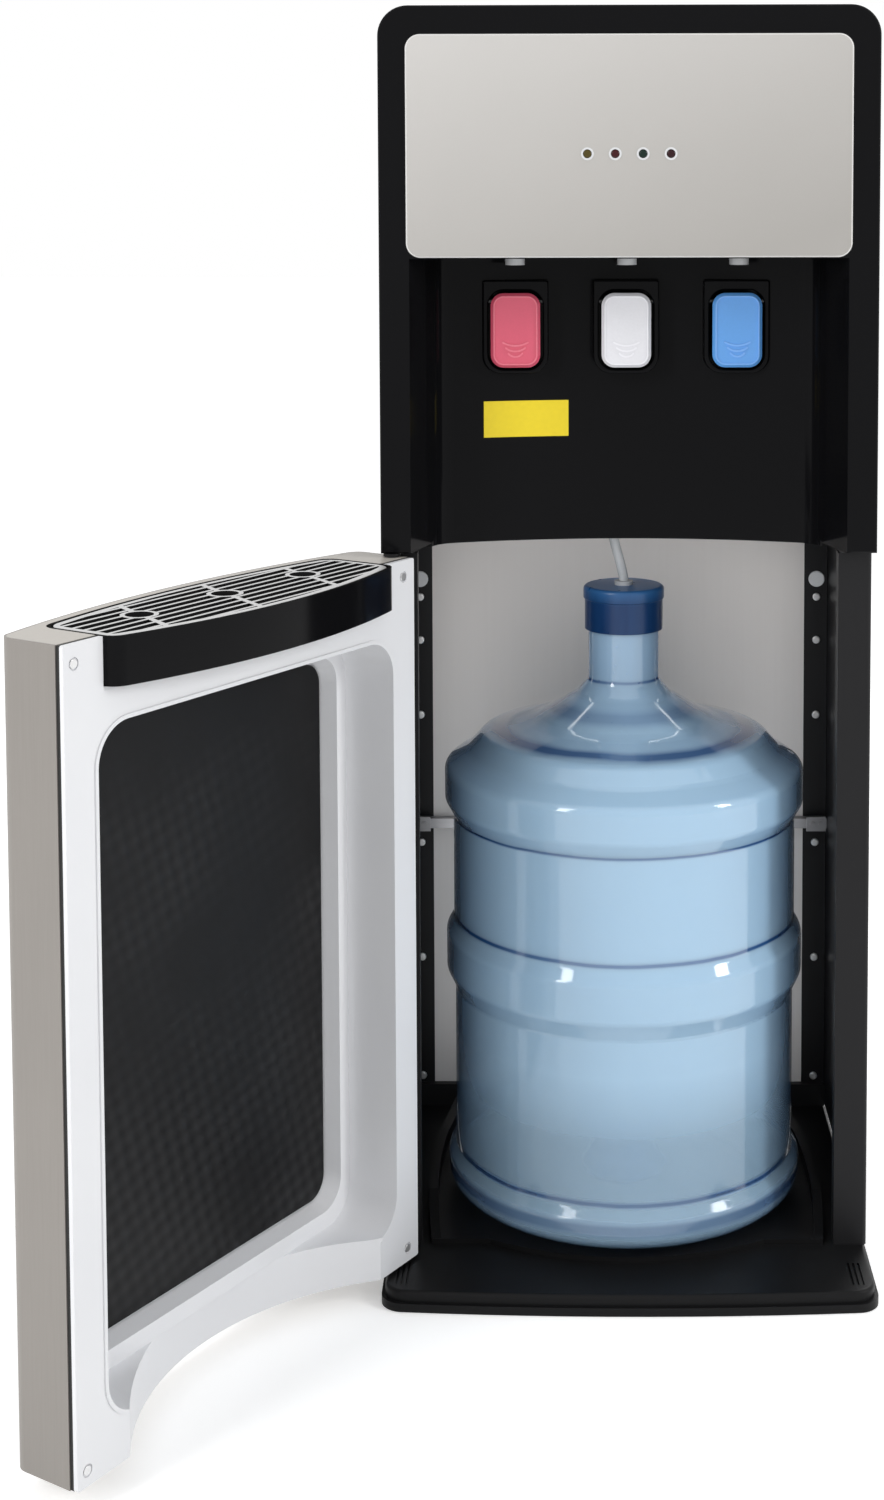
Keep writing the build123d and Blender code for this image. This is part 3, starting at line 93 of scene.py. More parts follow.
class Shader:
    def __init__(self, owner, output):
        owner.use_nodes = True
        self.owner = owner
        self.tree = owner.node_tree
        self.tree.nodes.clear()
        self.output = self.tree.nodes.new(output)

    def node(self, kind, settings, sockets, out=0):
        made = self.tree.nodes.new(kind)
        for key, value in settings.items():
            setattr(made, key, value)
        for key, value in sockets.items():
            socket = made.inputs[key]
            if isinstance(value, Value):
                self.tree.links.new(value.out, socket)
            elif socket.type == "RGBA" and len(value) == 3:
                socket.default_value = (*value, 1)
            else:
                socket.default_value = value
        return Value(self, made.outputs[out])

    def place(self):
        return self.node("ShaderNodeTexCoord", {}, {}, "Object")

    def mapped(self, scale=(1, 1, 1), turn=(0, 0, 0)):
        return self.node("ShaderNodeMapping", {}, {"Vector": self.place(), "Scale": scale, "Rotation": turn})

    def noise(self, scale, detail, stretch=(1, 1, 1)):
        return self.node("ShaderNodeTexNoise", {}, {
            "Vector": self.mapped(stretch), "Scale": scale, "Detail": detail}, "Fac")

    def axis(self, letter, vector=None):
        return self.node("ShaderNodeSeparateXYZ", {}, {0: vector or self.place()}, letter)

    def normal(self, letter):
        # how far the surface faces along one of the piece's own axes
        return self.axis(letter, self.node("ShaderNodeTexCoord", {}, {}, "Normal"))

    def fade(self, value, low, high):
        # 0 at low, 1 at high
        return self.node("ShaderNodeMapRange", {"clamp": True}, {
            "Value": value, "From Min": low, "From Max": high, "To Min": 0.0, "To Max": 1.0})

    def blend(self, mask, first, second):
        return self.node("ShaderNodeMix", {"data_type": "RGBA"}, {0: mask, 6: first, 7: second}, 2)

    def bump(self, height, strength, distance):
        return self.node("ShaderNodeBump", {}, {"Height": height, "Strength": strength, "Distance": distance})

    def seen(self):
        # 1 for what the camera sees, also in a mirror or through glass
        rays = [self.node("ShaderNodeLightPath", {}, {}, name)
                for name in ("Is Camera Ray", "Is Glossy Ray", "Is Transmission Ray")]
        return (rays[0] + rays[1] + rays[2]).clamped()

    def principled(self, sockets):
        return self.node("ShaderNodeBsdfPrincipled", {}, sockets)

    def finish(self, surface):
        self.tree.links.new(surface.out, self.output.inputs["Surface"])
        return self.owner


def newShader(name):
    return Shader(bpy.data.materials.new(name), "ShaderNodeOutputMaterial")


def scaled(colour, factor):
    return tuple(min(1.0, part * factor) for part in colour)


# layers of detail in a noise, from full to plain
fullDetail = 3
softDetail = 2
plainDetail = 1

# finishes: colour, shine and grain of each plain material slot
finishes = {
    "blackPlastic": {"colour": (0.007, 0.007, 0.0075), "rough": 0.42, "grain": 1400, "bump": 0.12,
                     "shine": 0.13},
    "blackSteel": {"colour": (0.012, 0.012, 0.013), "rough": 0.4, "grain": 420, "bump": 0.05, "shine": 0.16},
    "lightPlastic": {"colour": (0.66, 0.67, 0.68), "rough": 0.35, "grain": 900, "bump": 0.04},
    "board": {"colour": (0.02, 0.16, 0.06), "rough": 0.4, "grain": 500, "bump": 0.1},
    "labelYellow": {"colour": (0.8, 0.62, 0.015), "rough": 0.42, "grain": 260, "bump": 0.06},
    "screwSteel": {"colour": (0.72, 0.72, 0.72), "rough": 0.3, "grain": 1600, "bump": 0.06, "metal": 0.7},
    "braceSteel": {"colour": (0.3, 0.3, 0.31), "rough": 0.36, "grain": 500, "bump": 0.06, "metal": 0.7,
                   "stretch": (0.03, 1, 1)},
    "taupeSteel": {"colour": (0.275, 0.255, 0.235), "rough": 0.42, "grain": 700, "bump": 0.04, "metal": 0.15,
                   "stretch": (1, 1, 0.03)},
    "taupePlastic": {"colour": (0.5, 0.47, 0.43), "rough": 0.42, "grain": 900, "bump": 0.06},
    "sealRubber": {"colour": (0.012, 0.012, 0.012), "rough": 0.6, "grain": 800, "bump": 0.1},
    "whiteFoam": {"colour": (0.84, 0.84, 0.82), "rough": 0.8, "grain": 500, "bump": 0.3},
    "tankSteel": {"colour": (0.6, 0.6, 0.6), "rough": 0.3, "grain": 500, "bump": 0.05, "metal": 0.9,
                  "stretch": (1, 1, 0.04)},
    "sinkAluminium": {"colour": (0.68, 0.69, 0.7), "rough": 0.35, "grain": 600, "bump": 0.05, "metal": 0.9},
}

# lamps: dark tinted lenses under a faint gloss
lampColours = {
    "lampAmber": (0.07, 0.05, 0.006),
    "lampRed": (0.045, 0.003, 0.005),
    "lampGreen": (0.002, 0.016, 0.01),
    "lampDark": (0.025, 0.003, 0.006),
}
for lampName, lampColour in lampColours.items():
    finishes[lampName] = {"colour": lampColour, "rough": 0.12, "grain": 300, "bump": 0.03,
                          "coat": 0.15, "shine": 0.2}

# what the plain finishes share: a fine grain and a broad cloud that both sway the tone
plainLook = {
    "cloud": 9, "fineShare": 0.4, "cloudShare": 0.6, "dark": 0.86, "light": 1.14,
    "evenRough": 0.85, "cloudRough": 0.3, "coatRough": 0.08, "shine": 0.45, "relief": 0.0004,
}


def plainFinish(name, settings):
    shader = newShader(name)
    colour = settings["colour"]
    rough = settings["rough"]
    fine = shader.noise(settings["grain"], fullDetail, settings.get("stretch", (1, 1, 1)))
    cloud = shader.noise(plainLook["cloud"], softDetail)
    return shader.finish(shader.principled({
        "Base Color": shader.blend(
            fine * plainLook["fineShare"] + cloud * plainLook["cloudShare"],
            scaled(colour, plainLook["dark"]), scaled(colour, plainLook["light"])),
        "Roughness": rough * plainLook["evenRough"] + cloud * (rough * plainLook["cloudRough"]),
        "Metallic": settings.get("metal", 0.0),
        "Coat Weight": settings.get("coat", 0.0),
        "Coat Roughness": plainLook["coatRough"],
        "Specular IOR Level": settings.get("shine", plainLook["shine"]),
        "Normal": shader.bump(fine, settings["bump"], plainLook["relief"]),
    }))


# glossy black mouldings; the upward faces of the drip tray are dull
glossLook = {
    "colour": (0.0035, 0.0035, 0.004), "light": 1.6, "rough": 0.09, "shine": 0.07,
    "smear": 4, "smearRough": 0.05, "haze": 26, "bump": 0.02, "relief": 0.0004,
    "dull": (0.004, 0.004, 0.004), "dullLight": 1.5, "dullRough": 0.75, "dullShine": 0.02,
    "trayZone": (0.53, 0.532), "upward": (0.4, 0.7),
}


def glossFinish():
    shader = newShader("glossBlack")
    haze = shader.noise(glossLook["haze"], softDetail)
    smear = shader.noise(glossLook["smear"], softDetail)
    black = glossLook["colour"]
    matt = glossLook["dull"]
    gloss = shader.principled({
        "Base Color": shader.blend(smear, black, scaled(black, glossLook["light"])),
        "Roughness": glossLook["rough"] + smear * glossLook["smearRough"],
        "Specular IOR Level": glossLook["shine"],
        "Normal": shader.bump(haze, glossLook["bump"], glossLook["relief"]),
    })
    dull = shader.principled({
        "Base Color": shader.blend(haze, matt, scaled(matt, glossLook["dullLight"])),
        "Roughness": glossLook["dullRough"],
        "Specular IOR Level": glossLook["dullShine"],
    })
    onTray = 1 - shader.fade(shader.axis("Z"), *glossLook["trayZone"])
    upward = shader.fade(shader.normal("Z"), *glossLook["upward"])
    return shader.finish(shader.node("ShaderNodeMixShader", {}, {0: onTray * upward, 1: gloss, 2: dull}))


# paddles: satin colour, paler on the rim and ridges; the lugs behind the plate are black
paddleLook = {
    "colours": {"paddleRed": (0.74, 0.1, 0.17), "paddleWhite": (0.84, 0.84, 0.88),
                "paddleBlue": (0.13, 0.41, 0.92)},
    "back": (0.006, 0.006, 0.006), "fieldDark": 0.88, "fieldLight": 0.96, "rimLight": 1.08, "rimWash": 0.15,
    # depths from the front: the raised rim over the field, the black lugs, and the cooler's back half
    "rimZone": (-0.0628, -0.0624), "lugZone": (-0.0581, -0.0575), "backHalf": (0, 0.001),
    "grain": 700, "rough": 0.26, "grainRough": 0.06, "coat": 0.3, "bump": 0.03, "relief": 0.0004,
}


def paddleFinish(name):
    # the rockers on the back share these slots and keep their colour all over
    shader = newShader(name)
    colour = paddleLook["colours"][name]
    washed = tuple(part + (1 - part) * paddleLook["rimWash"] for part in colour)
    grain = shader.noise(paddleLook["grain"], fullDetail)
    depth = shader.axis("Y")
    raised = 1 - shader.fade(depth, *paddleLook["rimZone"])
    lug = shader.fade(depth, *paddleLook["lugZone"]) * (1 - shader.fade(depth, *paddleLook["backHalf"]))
    field = shader.blend(grain, scaled(colour, paddleLook["fieldDark"]),
                         scaled(colour, paddleLook["fieldLight"]))
    rim = shader.blend(grain, scaled(colour, paddleLook["rimLight"]), washed)
    return shader.finish(shader.principled({
        "Base Color": shader.blend(lug, shader.blend(raised, field, rim), paddleLook["back"]),
        "Roughness": paddleLook["rough"] + grain * paddleLook["grainRough"],
        "Coat Weight": paddleLook["coat"] - lug * paddleLook["coat"],
        "Normal": shader.bump(grain, paddleLook["bump"], paddleLook["relief"]),
    }))


# grille: silver on its upward faces; the slot walls are painted black as the shade down in the slots
grilleLook = {
    "silver": (0.6, 0.6, 0.6), "dark": 0.9, "light": 1.1, "black": (0.005, 0.005, 0.005),
    "upward": (0.25, 0.6), "rough": 0.3, "slotRough": 0.7, "fleck": 900, "fleckRough": 0.06,
    "metal": 0.3, "shine": 0.2, "bump": 0.05, "relief": 0.0004,
}


def grilleFinish():
    shader = newShader("grilleSilver")
    fleck = shader.noise(grilleLook["fleck"], fullDetail)
    # painted shade: faces that do not face up go black
    top = shader.fade(shader.normal("Z"), *grilleLook["upward"])
    silver = shader.blend(fleck, scaled(grilleLook["silver"], grilleLook["dark"]),
                          scaled(grilleLook["silver"], grilleLook["light"]))
    rough = grilleLook["slotRough"] - top * (grilleLook["slotRough"] - grilleLook["rough"])
    return shader.finish(shader.principled({
        "Base Color": shader.blend(top, grilleLook["black"], silver),
        "Roughness": rough + fleck * grilleLook["fleckRough"],
        "Metallic": top * grilleLook["metal"],
        "Specular IOR Level": grilleLook["shine"],
        "Normal": shader.bump(fleck, grilleLook["bump"], grilleLook["relief"]),
    }))


# display plate: satin champagne, painted a little lighter towards its top and left as light falling there,
# with a painted highlight on its bevelled edge
displayLook = {
    # low and high span the plate's tone with its painted light; edge is the painted highlight colour of the
    # bevel
    "low": (0.375, 0.36, 0.34), "high": (0.56, 0.545, 0.525), "edge": (0.8, 0.79, 0.77),
    "fleck": 1500, "cloud": 5, "upShare": 0.7, "rightShare": 0.45, "cloudShare": 0.3, "fleckShare": 0.12,
    "least": 0.12, "flat": (0.8, 0.96), "rough": 0.33, "fleckRough": 0.08, "metal": 0.15,
    "bump": 0.04, "relief": 0.0002,
}


def displayFinish():
    shader = newShader("champagnePanel")
    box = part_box("display_panel")
    fleck = shader.noise(displayLook["fleck"], softDetail)
    cloud = shader.noise(displayLook["cloud"], softDetail)
    up = shader.fade(shader.axis("Z"), box[0].z, box[1].z)
    right = shader.fade(shader.axis("X"), box[0].x, box[1].x)
    # painted light: lighter towards the top, painted shade towards the right
    light = up * displayLook["upShare"] - right * displayLook["rightShare"] + displayLook["least"]
    light = (light + cloud * displayLook["cloudShare"] + fleck * displayLook["fleckShare"]).clamped()
    tone = shader.blend(light, displayLook["low"], displayLook["high"])
    ahead = shader.normal("Y")
    # painted highlight: faces turned away from the front take the pale edge colour
    bevelHighlight = 1 - shader.fade(ahead.size(), *displayLook["flat"])
    return shader.finish(shader.principled({
        "Base Color": shader.blend(bevelHighlight, tone, displayLook["edge"]),
        "Roughness": displayLook["rough"] + fleck * displayLook["fleckRough"],
        "Metallic": displayLook["metal"],
        "Normal": shader.bump(fleck, displayLook["bump"], displayLook["relief"]),
    }))


# bay's back panel: pale warm grey with a soft brushed grain
backLook = {
    "low": (0.66, 0.63, 0.61), "high": (0.76, 0.73, 0.71), "brush": 300, "stretch": (1, 1, 0.02), "cloud": 6,
    "brushShare": 0.3, "cloudShare": 0.7, "rough": 0.5, "brushRough": 0.1, "metal": 0.15,
    "bump": 0.05, "relief": 0.0003,
}


def backFinish():
    shader = newShader("lightPanel")
    brush = shader.noise(backLook["brush"], fullDetail, backLook["stretch"])
    cloud = shader.noise(backLook["cloud"], softDetail)
    return shader.finish(shader.principled({
        "Base Color": shader.blend(brush * backLook["brushShare"] + cloud * backLook["cloudShare"],
                                   backLook["low"], backLook["high"]),
        "Roughness": backLook["rough"] + brush * backLook["brushRough"],
        "Metallic": backLook["metal"],
        "Normal": shader.bump(brush, backLook["bump"], backLook["relief"]),
    }))


# liner: pressed white plastic with a faint orange peel
linerLook = {
    "low": (0.74, 0.745, 0.77), "high": (0.84, 0.845, 0.86), "peel": 420, "cloud": 7,
    "rough": 0.34, "peelRough": 0.12, "coat": 0.15, "bump": 0.06, "relief": 0.0004,
}


def linerFinish():
    shader = newShader("linerWhite")
    peel = shader.noise(linerLook["peel"], softDetail)
    cloud = shader.noise(linerLook["cloud"], softDetail)
    return shader.finish(shader.principled({
        "Base Color": shader.blend(cloud, linerLook["low"], linerLook["high"]),
        "Roughness": linerLook["rough"] + peel * linerLook["peelRough"],
        "Coat Weight": linerLook["coat"],
        "Normal": shader.bump(peel, linerLook["bump"], linerLook["relief"]),
    }))


# niche panel: black foam pressed into a slanted waffle, deeper in patches and most of all low down, with its
# pressed ridges painted lighter as light catching the relief
foamLook = {
    "dark": (0.004, 0.004, 0.0045), "light": (0.016, 0.016, 0.017), "pitch": 0.016, "slant": 30, "door": 122,
    "fine": 900, "patch": 9, "downShare": 0.9, "patchZone": (0.1, 0.42), "ridgeShare": 0.9, "fineShare": 0.3,
    "rough": 0.3, "fineRough": 0.2, "shine": 0.14, "fineRelief": 0.12, "bump": 0.4, "relief": 0.0012,
}


def foamFinish():
    shader = newShader("foamBlack")
    flat = shader.mapped(turn=(0, 0, math.radians(foamLook["door"])))
    lean = shader.node("ShaderNodeMapping", {}, {
        "Vector": flat, "Rotation": (0, math.radians(foamLook["slant"]), 0)})
    cell = 2 * math.pi / foamLook["pitch"]
    across = shader.axis("X", lean) * cell
    upward = shader.axis("Z", lean) * cell
    ridge = across.calc("SINE", across) * upward.calc("SINE", upward) * 0.5 + 0.5
    fine = shader.noise(foamLook["fine"], fullDetail)
    patch = shader.noise(foamLook["patch"], softDetail) - shader.axis("Z") * foamLook["downShare"]
    pressed = ridge * shader.fade(patch, *foamLook["patchZone"])
    # painted light: the pressed ridges lift the colour
    light = (pressed * foamLook["ridgeShare"] + fine * foamLook["fineShare"]).clamped()
    return shader.finish(shader.principled({
        "Base Color": shader.blend(light, foamLook["dark"], foamLook["light"]),
        "Roughness": foamLook["rough"] + fine * foamLook["fineRough"],
        "Specular IOR Level": foamLook["shine"],
        "Normal": shader.bump(pressed + fine * foamLook["fineRelief"], foamLook["bump"], foamLook["relief"]),
    }))


# bottle: thin clear blue plastic, deeper at its sides, with painted shade lines at its grooves and ring
# edges, and drops in the neck
bottleLook = {
    "pale": (0.53, 0.77, 0.98), "side": (0.12, 0.3, 0.62), "deep": (0.02, 0.08, 0.24),
    "neck": (0.46, 0.68, 0.9),
    "alpha": 0.52, "footAlpha": 0.3, "neckAlpha": 0.62, "sideAlpha": 0.3, "lineAlpha": 0.45, "dropAlpha": 0.3,
    "rough": 0.06, "cloud": 8, "cloudRough": 0.04, "edge": 3.2, "edgeShare": 1.1, "cloudShare": 0.2,
    # height, half width and depth of each painted shade line
    "lines": ((0.311, 0.002, 1.0), (0.2335, 0.0026, 1.1), (0.0575, 0.003, 1.1), (0.041, 0.0075, 0.8),
              (0.375, 0.0024, 0.9), (0.392, 0.006, 0.45), (0.413, 0.0018, 1.0)),
    "lineCore": 0.3, "lineShare": 0.7, "lineEdge": 0.5, "wobble": 18, "wobbleBy": 0.0025,
    # heights where each zone begins and ends
    "neckZone": (0.376, 0.41), "footZone": (0.1, 0.15), "heelZone": (0.05, 0.075),
    "ringTop": (0.196, 0.204), "ringFoot": (0.186, 0.19),
    "dimple": 240, "dimpleShare": 0.8, "drop": 330, "dropZone": (0.7, 0.76), "dropTone": 0.4,
    "wave": 45, "waveStretch": (1, 1, 0.5), "waveShare": 0.5, "coatRough": 0.02,
    "bump": 0.25, "relief": 0.0014,
}


def bottleShadeLines(shader, height, facing):
    # painted shade: darker lines round the bottle at its grooves and ring edges, a little uneven and stronger
    # towards its sides
    level = height + (shader.noise(bottleLook["wobble"], softDetail) - 0.5) * bottleLook["wobbleBy"]
    lines = 0
    for middle, half, depth in bottleLook["lines"]:
        line = 1 - shader.fade((level - middle).size(), half * bottleLook["lineCore"], half)
        lines = lines + line * (depth * bottleLook["lineShare"] + facing * bottleLook["lineEdge"])
    return lines.clamped()


def bottleFinish():
    shader = newShader("bottleBlue")
    height = shader.axis("Z")
    facing = shader.node("ShaderNodeLayerWeight", {}, {"Blend": 0.5}, "Facing")
    cloud = shader.noise(bottleLook["cloud"], softDetail)
    side = facing ** bottleLook["edge"] * bottleLook["edgeShare"] + (cloud - 0.5) * bottleLook["cloudShare"]
    side = side.clamped()
    lines = bottleShadeLines(shader, height, facing)
    inNeck = shader.fade(height, *bottleLook["neckZone"])
    inFoot = 1 - shader.fade(height, *bottleLook["footZone"])
    inHeel = 1 - shader.fade(height, *bottleLook["heelZone"])
    underTop = 1 - shader.fade(height, *bottleLook["ringTop"])
    underRing = underTop * shader.fade(height, *bottleLook["ringFoot"])
    drops = shader.fade(shader.noise(bottleLook["drop"], plainDetail), *bottleLook["dropZone"]) * inNeck
    dimpled = (inHeel + underRing).clamped()
    dimples = shader.noise(bottleLook["dimple"], fullDetail) * dimpled * bottleLook["dimpleShare"]
    waves = shader.noise(bottleLook["wave"], softDetail, bottleLook["waveStretch"]) * bottleLook["waveShare"]
    tone = shader.blend(inNeck, bottleLook["pale"], bottleLook["neck"])
    tone = shader.blend(side, tone, bottleLook["side"])
    alpha = bottleLook["alpha"] - inFoot * (bottleLook["alpha"] - bottleLook["footAlpha"])
    alpha = alpha + inNeck * (bottleLook["neckAlpha"] - bottleLook["alpha"]) + drops * bottleLook["dropAlpha"]
    alpha = (alpha + side * bottleLook["sideAlpha"] + lines * bottleLook["lineAlpha"]).clamped()
    # the painted shade lines and the darker drops deepen the colour
    shadeAndDrops = (lines + drops * bottleLook["dropTone"]).clamped()
    return shader.finish(shader.principled({
        "Base Color": shader.blend(shadeAndDrops, tone, bottleLook["deep"]),
        "Roughness": bottleLook["rough"] + cloud * bottleLook["cloudRough"],
        "Alpha": alpha,
        "Coat Weight": 1.0,
        "Coat Roughness": bottleLook["coatRough"],
        "Normal": shader.bump(dimples + waves + drops, bottleLook["bump"], bottleLook["relief"]),
    }))


# clear hose and pipes
tubeLook = {
    "low": (0.78, 0.82, 0.85), "high": (0.9, 0.92, 0.94), "haze": 160, "rough": 0.12, "hazeRough": 0.1,
    "clear": 0.45, "bend": 1.35,
}


def tubeFinish():
    shader = newShader("clearTube")
    haze = shader.noise(tubeLook["haze"], softDetail)
    return shader.finish(shader.principled({
        "Base Color": shader.blend(haze, tubeLook["low"], tubeLook["high"]),
        "Roughness": tubeLook["rough"] + haze * tubeLook["hazeRough"],
        "Transmission Weight": tubeLook["clear"],
        "IOR": tubeLook["bend"],
    }))


# water: pale blue, clearer in the bottle's foot
waterLook = {
    "pale": (0.56, 0.79, 0.96), "blue": (0.46, 0.7, 0.9), "alpha": 0.5, "footAlpha": 0.12,
    "swirl": 12, "rough": 0.02, "swirlRough": 0.05, "bump": 0.1, "relief": 0.002,
}


def waterFinish():
    shader = newShader("water")
    swirl = shader.noise(waterLook["swirl"], fullDetail)
    aboveFoot = shader.fade(shader.axis("Z"), *bottleLook["footZone"])
    return shader.finish(shader.principled({
        "Base Color": shader.blend(swirl, waterLook["blue"], waterLook["pale"]),
        "Roughness": waterLook["rough"] + swirl * waterLook["swirlRough"],
        "Alpha": waterLook["footAlpha"] + aboveFoot * (waterLook["alpha"] - waterLook["footAlpha"]),
        "Normal": shader.bump(swirl, waterLook["bump"], waterLook["relief"]),
    }))


# pushed-up middle of the bottle's foot: painted dark blue as the shade seen in it through the clear foot,
# with upright streaks
puntLook = {
    "deep": (0.006, 0.03, 0.11), "light": 3.4, "streak": 60, "stretch": (1, 1, 0.3), "rough": 0.35,
    "streakRough": 0.2, "shine": 0.1, "bump": 0.3, "relief": 0.002,
}


def puntFinish():
    shader = newShader("bottleDeepBlue")
    streak = shader.noise(puntLook["streak"], fullDetail, puntLook["stretch"])
    return shader.finish(shader.principled({
        "Base Color": shader.blend(streak, puntLook["deep"], scaled(puntLook["deep"], puntLook["light"])),
        "Roughness": puntLook["rough"] + streak * puntLook["streakRough"],
        "Specular IOR Level": puntLook["shine"],
        "Normal": shader.bump(streak, puntLook["bump"], puntLook["relief"]),
    }))


# cap: deep blue, with a painted highlight lighter on the bead at its top, and faint upright streaks
capLook = {
    "skirt": (0.006, 0.035, 0.12), "bead": (0.03, 0.12, 0.3), "beadFoot": 0.012, "beadTop": 0.002,
    "beadShare": 0.8, "streak": 90, "stretch": (1, 1, 0.15), "streakShare": 0.5, "less": 0.2,
    "rough": 0.24, "streakRough": 0.1, "shine": 0.35, "bump": 0.12, "relief": 0.0006,
}


def capFinish():
    shader = newShader("capBlue")
    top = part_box("bottle_cap")[1].z
    onBead = shader.fade(shader.axis("Z"), top - capLook["beadFoot"], top - capLook["beadTop"])
    streak = shader.noise(capLook["streak"], fullDetail, capLook["stretch"])
    # painted highlight: the bead at the top is lifted towards the lighter blue
    light = (onBead * capLook["beadShare"] + streak * capLook["streakShare"] - capLook["less"]).clamped()
    return shader.finish(shader.principled({
        "Base Color": shader.blend(light, capLook["skirt"], capLook["bead"]),
        "Roughness": capLook["rough"] + streak * capLook["streakRough"],
        "Specular IOR Level": capLook["shine"],
        "Normal": shader.bump(streak, capLook["bump"], capLook["relief"]),
    }))


def camel(slot):
    first, *rest = slot.split("_")
    return first + "".join(word.capitalize() for word in rest)


materials = {name: plainFinish(name, settings) for name, settings in finishes.items()}
materials.update({
    "glossBlack": glossFinish(),
    "grilleSilver": grilleFinish(),
    "champagnePanel": displayFinish(),
    "lightPanel": backFinish(),
    "linerWhite": linerFinish(),
    "foamBlack": foamFinish(),
    "bottleBlue": bottleFinish(),
    "clearTube": tubeFinish(),
    "capBlue": capFinish(),
    "water": waterFinish(),
    "bottleDeepBlue": puntFinish(),
})
materials.update({name: paddleFinish(name) for name in paddleLook["colours"]})
print("materials made,", len(materials))

for entry in frame["record"]["subparts"]:
    mesh = nodes[entry["node"]].data
    mesh.materials.clear()
    mesh.materials.append(materials[camel(entry["material_slot"])])
print("materials on the frame's nodes")


# mesh helpers

def addPiece(name, mesh, body, material):
    piece = bpy.data.objects.new(name, mesh)
    bpy.context.scene.collection.objects.link(piece)
    mesh.materials.append(material)
    for polygon in mesh.polygons:
        polygon.use_smooth = True
    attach(piece, body)
    return piece


def lathe(name, profile, segments):
    # turns (radius, height) points round the bottle's axis, from its bottom to its top
    made = bmesh.new()
    rings = []
    for radius, height in profile:
        if radius == 0:
            rings.append([made.verts.new((0, 0, height))])
            continue
        angles = [2 * math.pi * step / segments for step in range(segments)]
        rings.append([
            made.verts.new((radius * math.cos(angle), radius * math.sin(angle), height)) for angle in angles
        ])
    for low, high in zip(rings, rings[1:]):
        for step in range(segments):
            after = (step + 1) % segments
            if len(low) == 1:
                made.faces.new((low[0], high[after], high[step]))
            elif len(high) == 1:
                made.faces.new((low[step], low[after], high[0]))
            else:
                made.faces.new((low[step], low[after], high[after], high[step]))
    mesh = bpy.data.meshes.new(name)
    bmesh.ops.recalc_face_normals(made, faces=made.faces)
    made.to_mesh(mesh)
    made.free()
    return mesh


# water in the bottle, up to its line in the shoulder
waterFill = {
    "profile": ((0, 0.0275), (0.09, 0.0275), (0.104, 0.0255), (0.124, 0.034), (0.1315, 0.045),
                (0.1315, 0.0475), (0.1268, 0.057), (0.1268, 0.176), (0.133, 0.194), (0.133, 0.218),
                (0.1278, 0.232), (0.1278, 0.309), (0.134, 0.324), (0.134, 0.3445), (0.118, 0.3563),
                (0.106, 0.369), (0.1, 0.3715), (0, 0.372)),
    "segments": 96,
}
addPiece("waterFill", lathe("waterFill", waterFill["profile"], waterFill["segments"]),
         "cabinet", materials["water"])

# pushed-up middle of the foot, waisted like an hourglass
footPunt = {
    "profile": ((0, 0.0285), (0.03, 0.0285), (0.032, 0.033), (0.026, 0.043), (0.0235, 0.052), (0.0265, 0.061),
                (0.036, 0.069), (0.039, 0.073), (0.034, 0.075), (0.013, 0.0735), (0, 0.073)),
    "segments": 64,
}
# its dark blue is painted shade
addPiece("footPunt", lathe("footPunt", footPunt["profile"], footPunt["segments"]),
         "cabinet", materials["bottleDeepBlue"])
print("water and foot made")

# free hose from the cap up to the pump
hoseRoute = {
    "points": ((0, 0, 0.4869), (0, 0, 0.4909), (-0.0095, -0.007, 0.5256), (-0.0095, -0.007, 0.5296)),
    "radius": 0.0036,
    "length": 0.0444,
    "order": 3,
    "resolution": 16,
    "bevelResolution": 6,
}


def makeHose():
    curve = bpy.data.curves.new("waterHose", "CURVE")
    curve.dimensions = "3D"
    line = curve.splines.new("NURBS")
    line.points.add(len(hoseRoute["points"]) - 1)
    for point, place in zip(line.points, hoseRoute["points"]):
        point.co = (*place, 1)
    line.order_u = hoseRoute["order"]
    line.use_endpoint_u = True
    line.resolution_u = hoseRoute["resolution"]
    curve.bevel_depth = hoseRoute["radius"]
    curve.bevel_resolution = hoseRoute["bevelResolution"]
    curve.use_fill_caps = True
    curve.materials.append(materials["clearTube"])
    hose = bpy.data.objects.new("waterHose", curve)
    bpy.context.scene.collection.objects.link(hose)
    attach(hose, "cabinet")
    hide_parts("water_hose")


makeHose()
print("hose made")

# floor, light and camera
stageLook = {
    "floor": (0.93, 0.93, 0.93), "dark": 0.995, "cloud": 2, "rough": 0.8, "shine": 0.1, "size": 30.0,
    "drop": 0.0005, "glow": 0.34, "ambient": 0.72,
}


def makeStage():
    made = bmesh.new()
    bmesh.ops.create_grid(made, x_segments=1, y_segments=1, size=stageLook["size"] / 2)
    mesh = bpy.data.meshes.new("floor")
    made.to_mesh(mesh)
    made.free()
    shader = newShader("floorPale")
    cloud = shader.noise(stageLook["cloud"], softDetail)
    paint = shader.principled({
        "Base Color": shader.blend(cloud, scaled(stageLook["floor"], stageLook["dark"]), stageLook["floor"]),
        "Roughness": stageLook["rough"],
        "Specular IOR Level": stageLook["shine"],
    })
    # white where the camera sees it, straight, mirrored or through the bottle; the shadow stays
    glow = shader.node("ShaderNodeEmission", {}, {
        "Color": (1, 1, 1), "Strength": shader.seen() * stageLook["glow"]})
    mesh.materials.append(shader.finish(shader.node("ShaderNodeAddShader", {}, {0: paint, 1: glow})))
    floor = bpy.data.objects.new("floor", mesh)
    bpy.context.scene.collection.objects.link(floor)
    floor.location.z = -stageLook["drop"]


def makeWorld():
    world = bpy.data.worlds.new("studio")
    bpy.context.scene.world = world
    shader = Shader(world, "ShaderNodeOutputWorld")
    strength = shader.seen() * (1 - stageLook["ambient"]) + stageLook["ambient"]
    shader.finish(shader.node("ShaderNodeBackground", {}, {"Color": (1, 1, 1), "Strength": strength}))


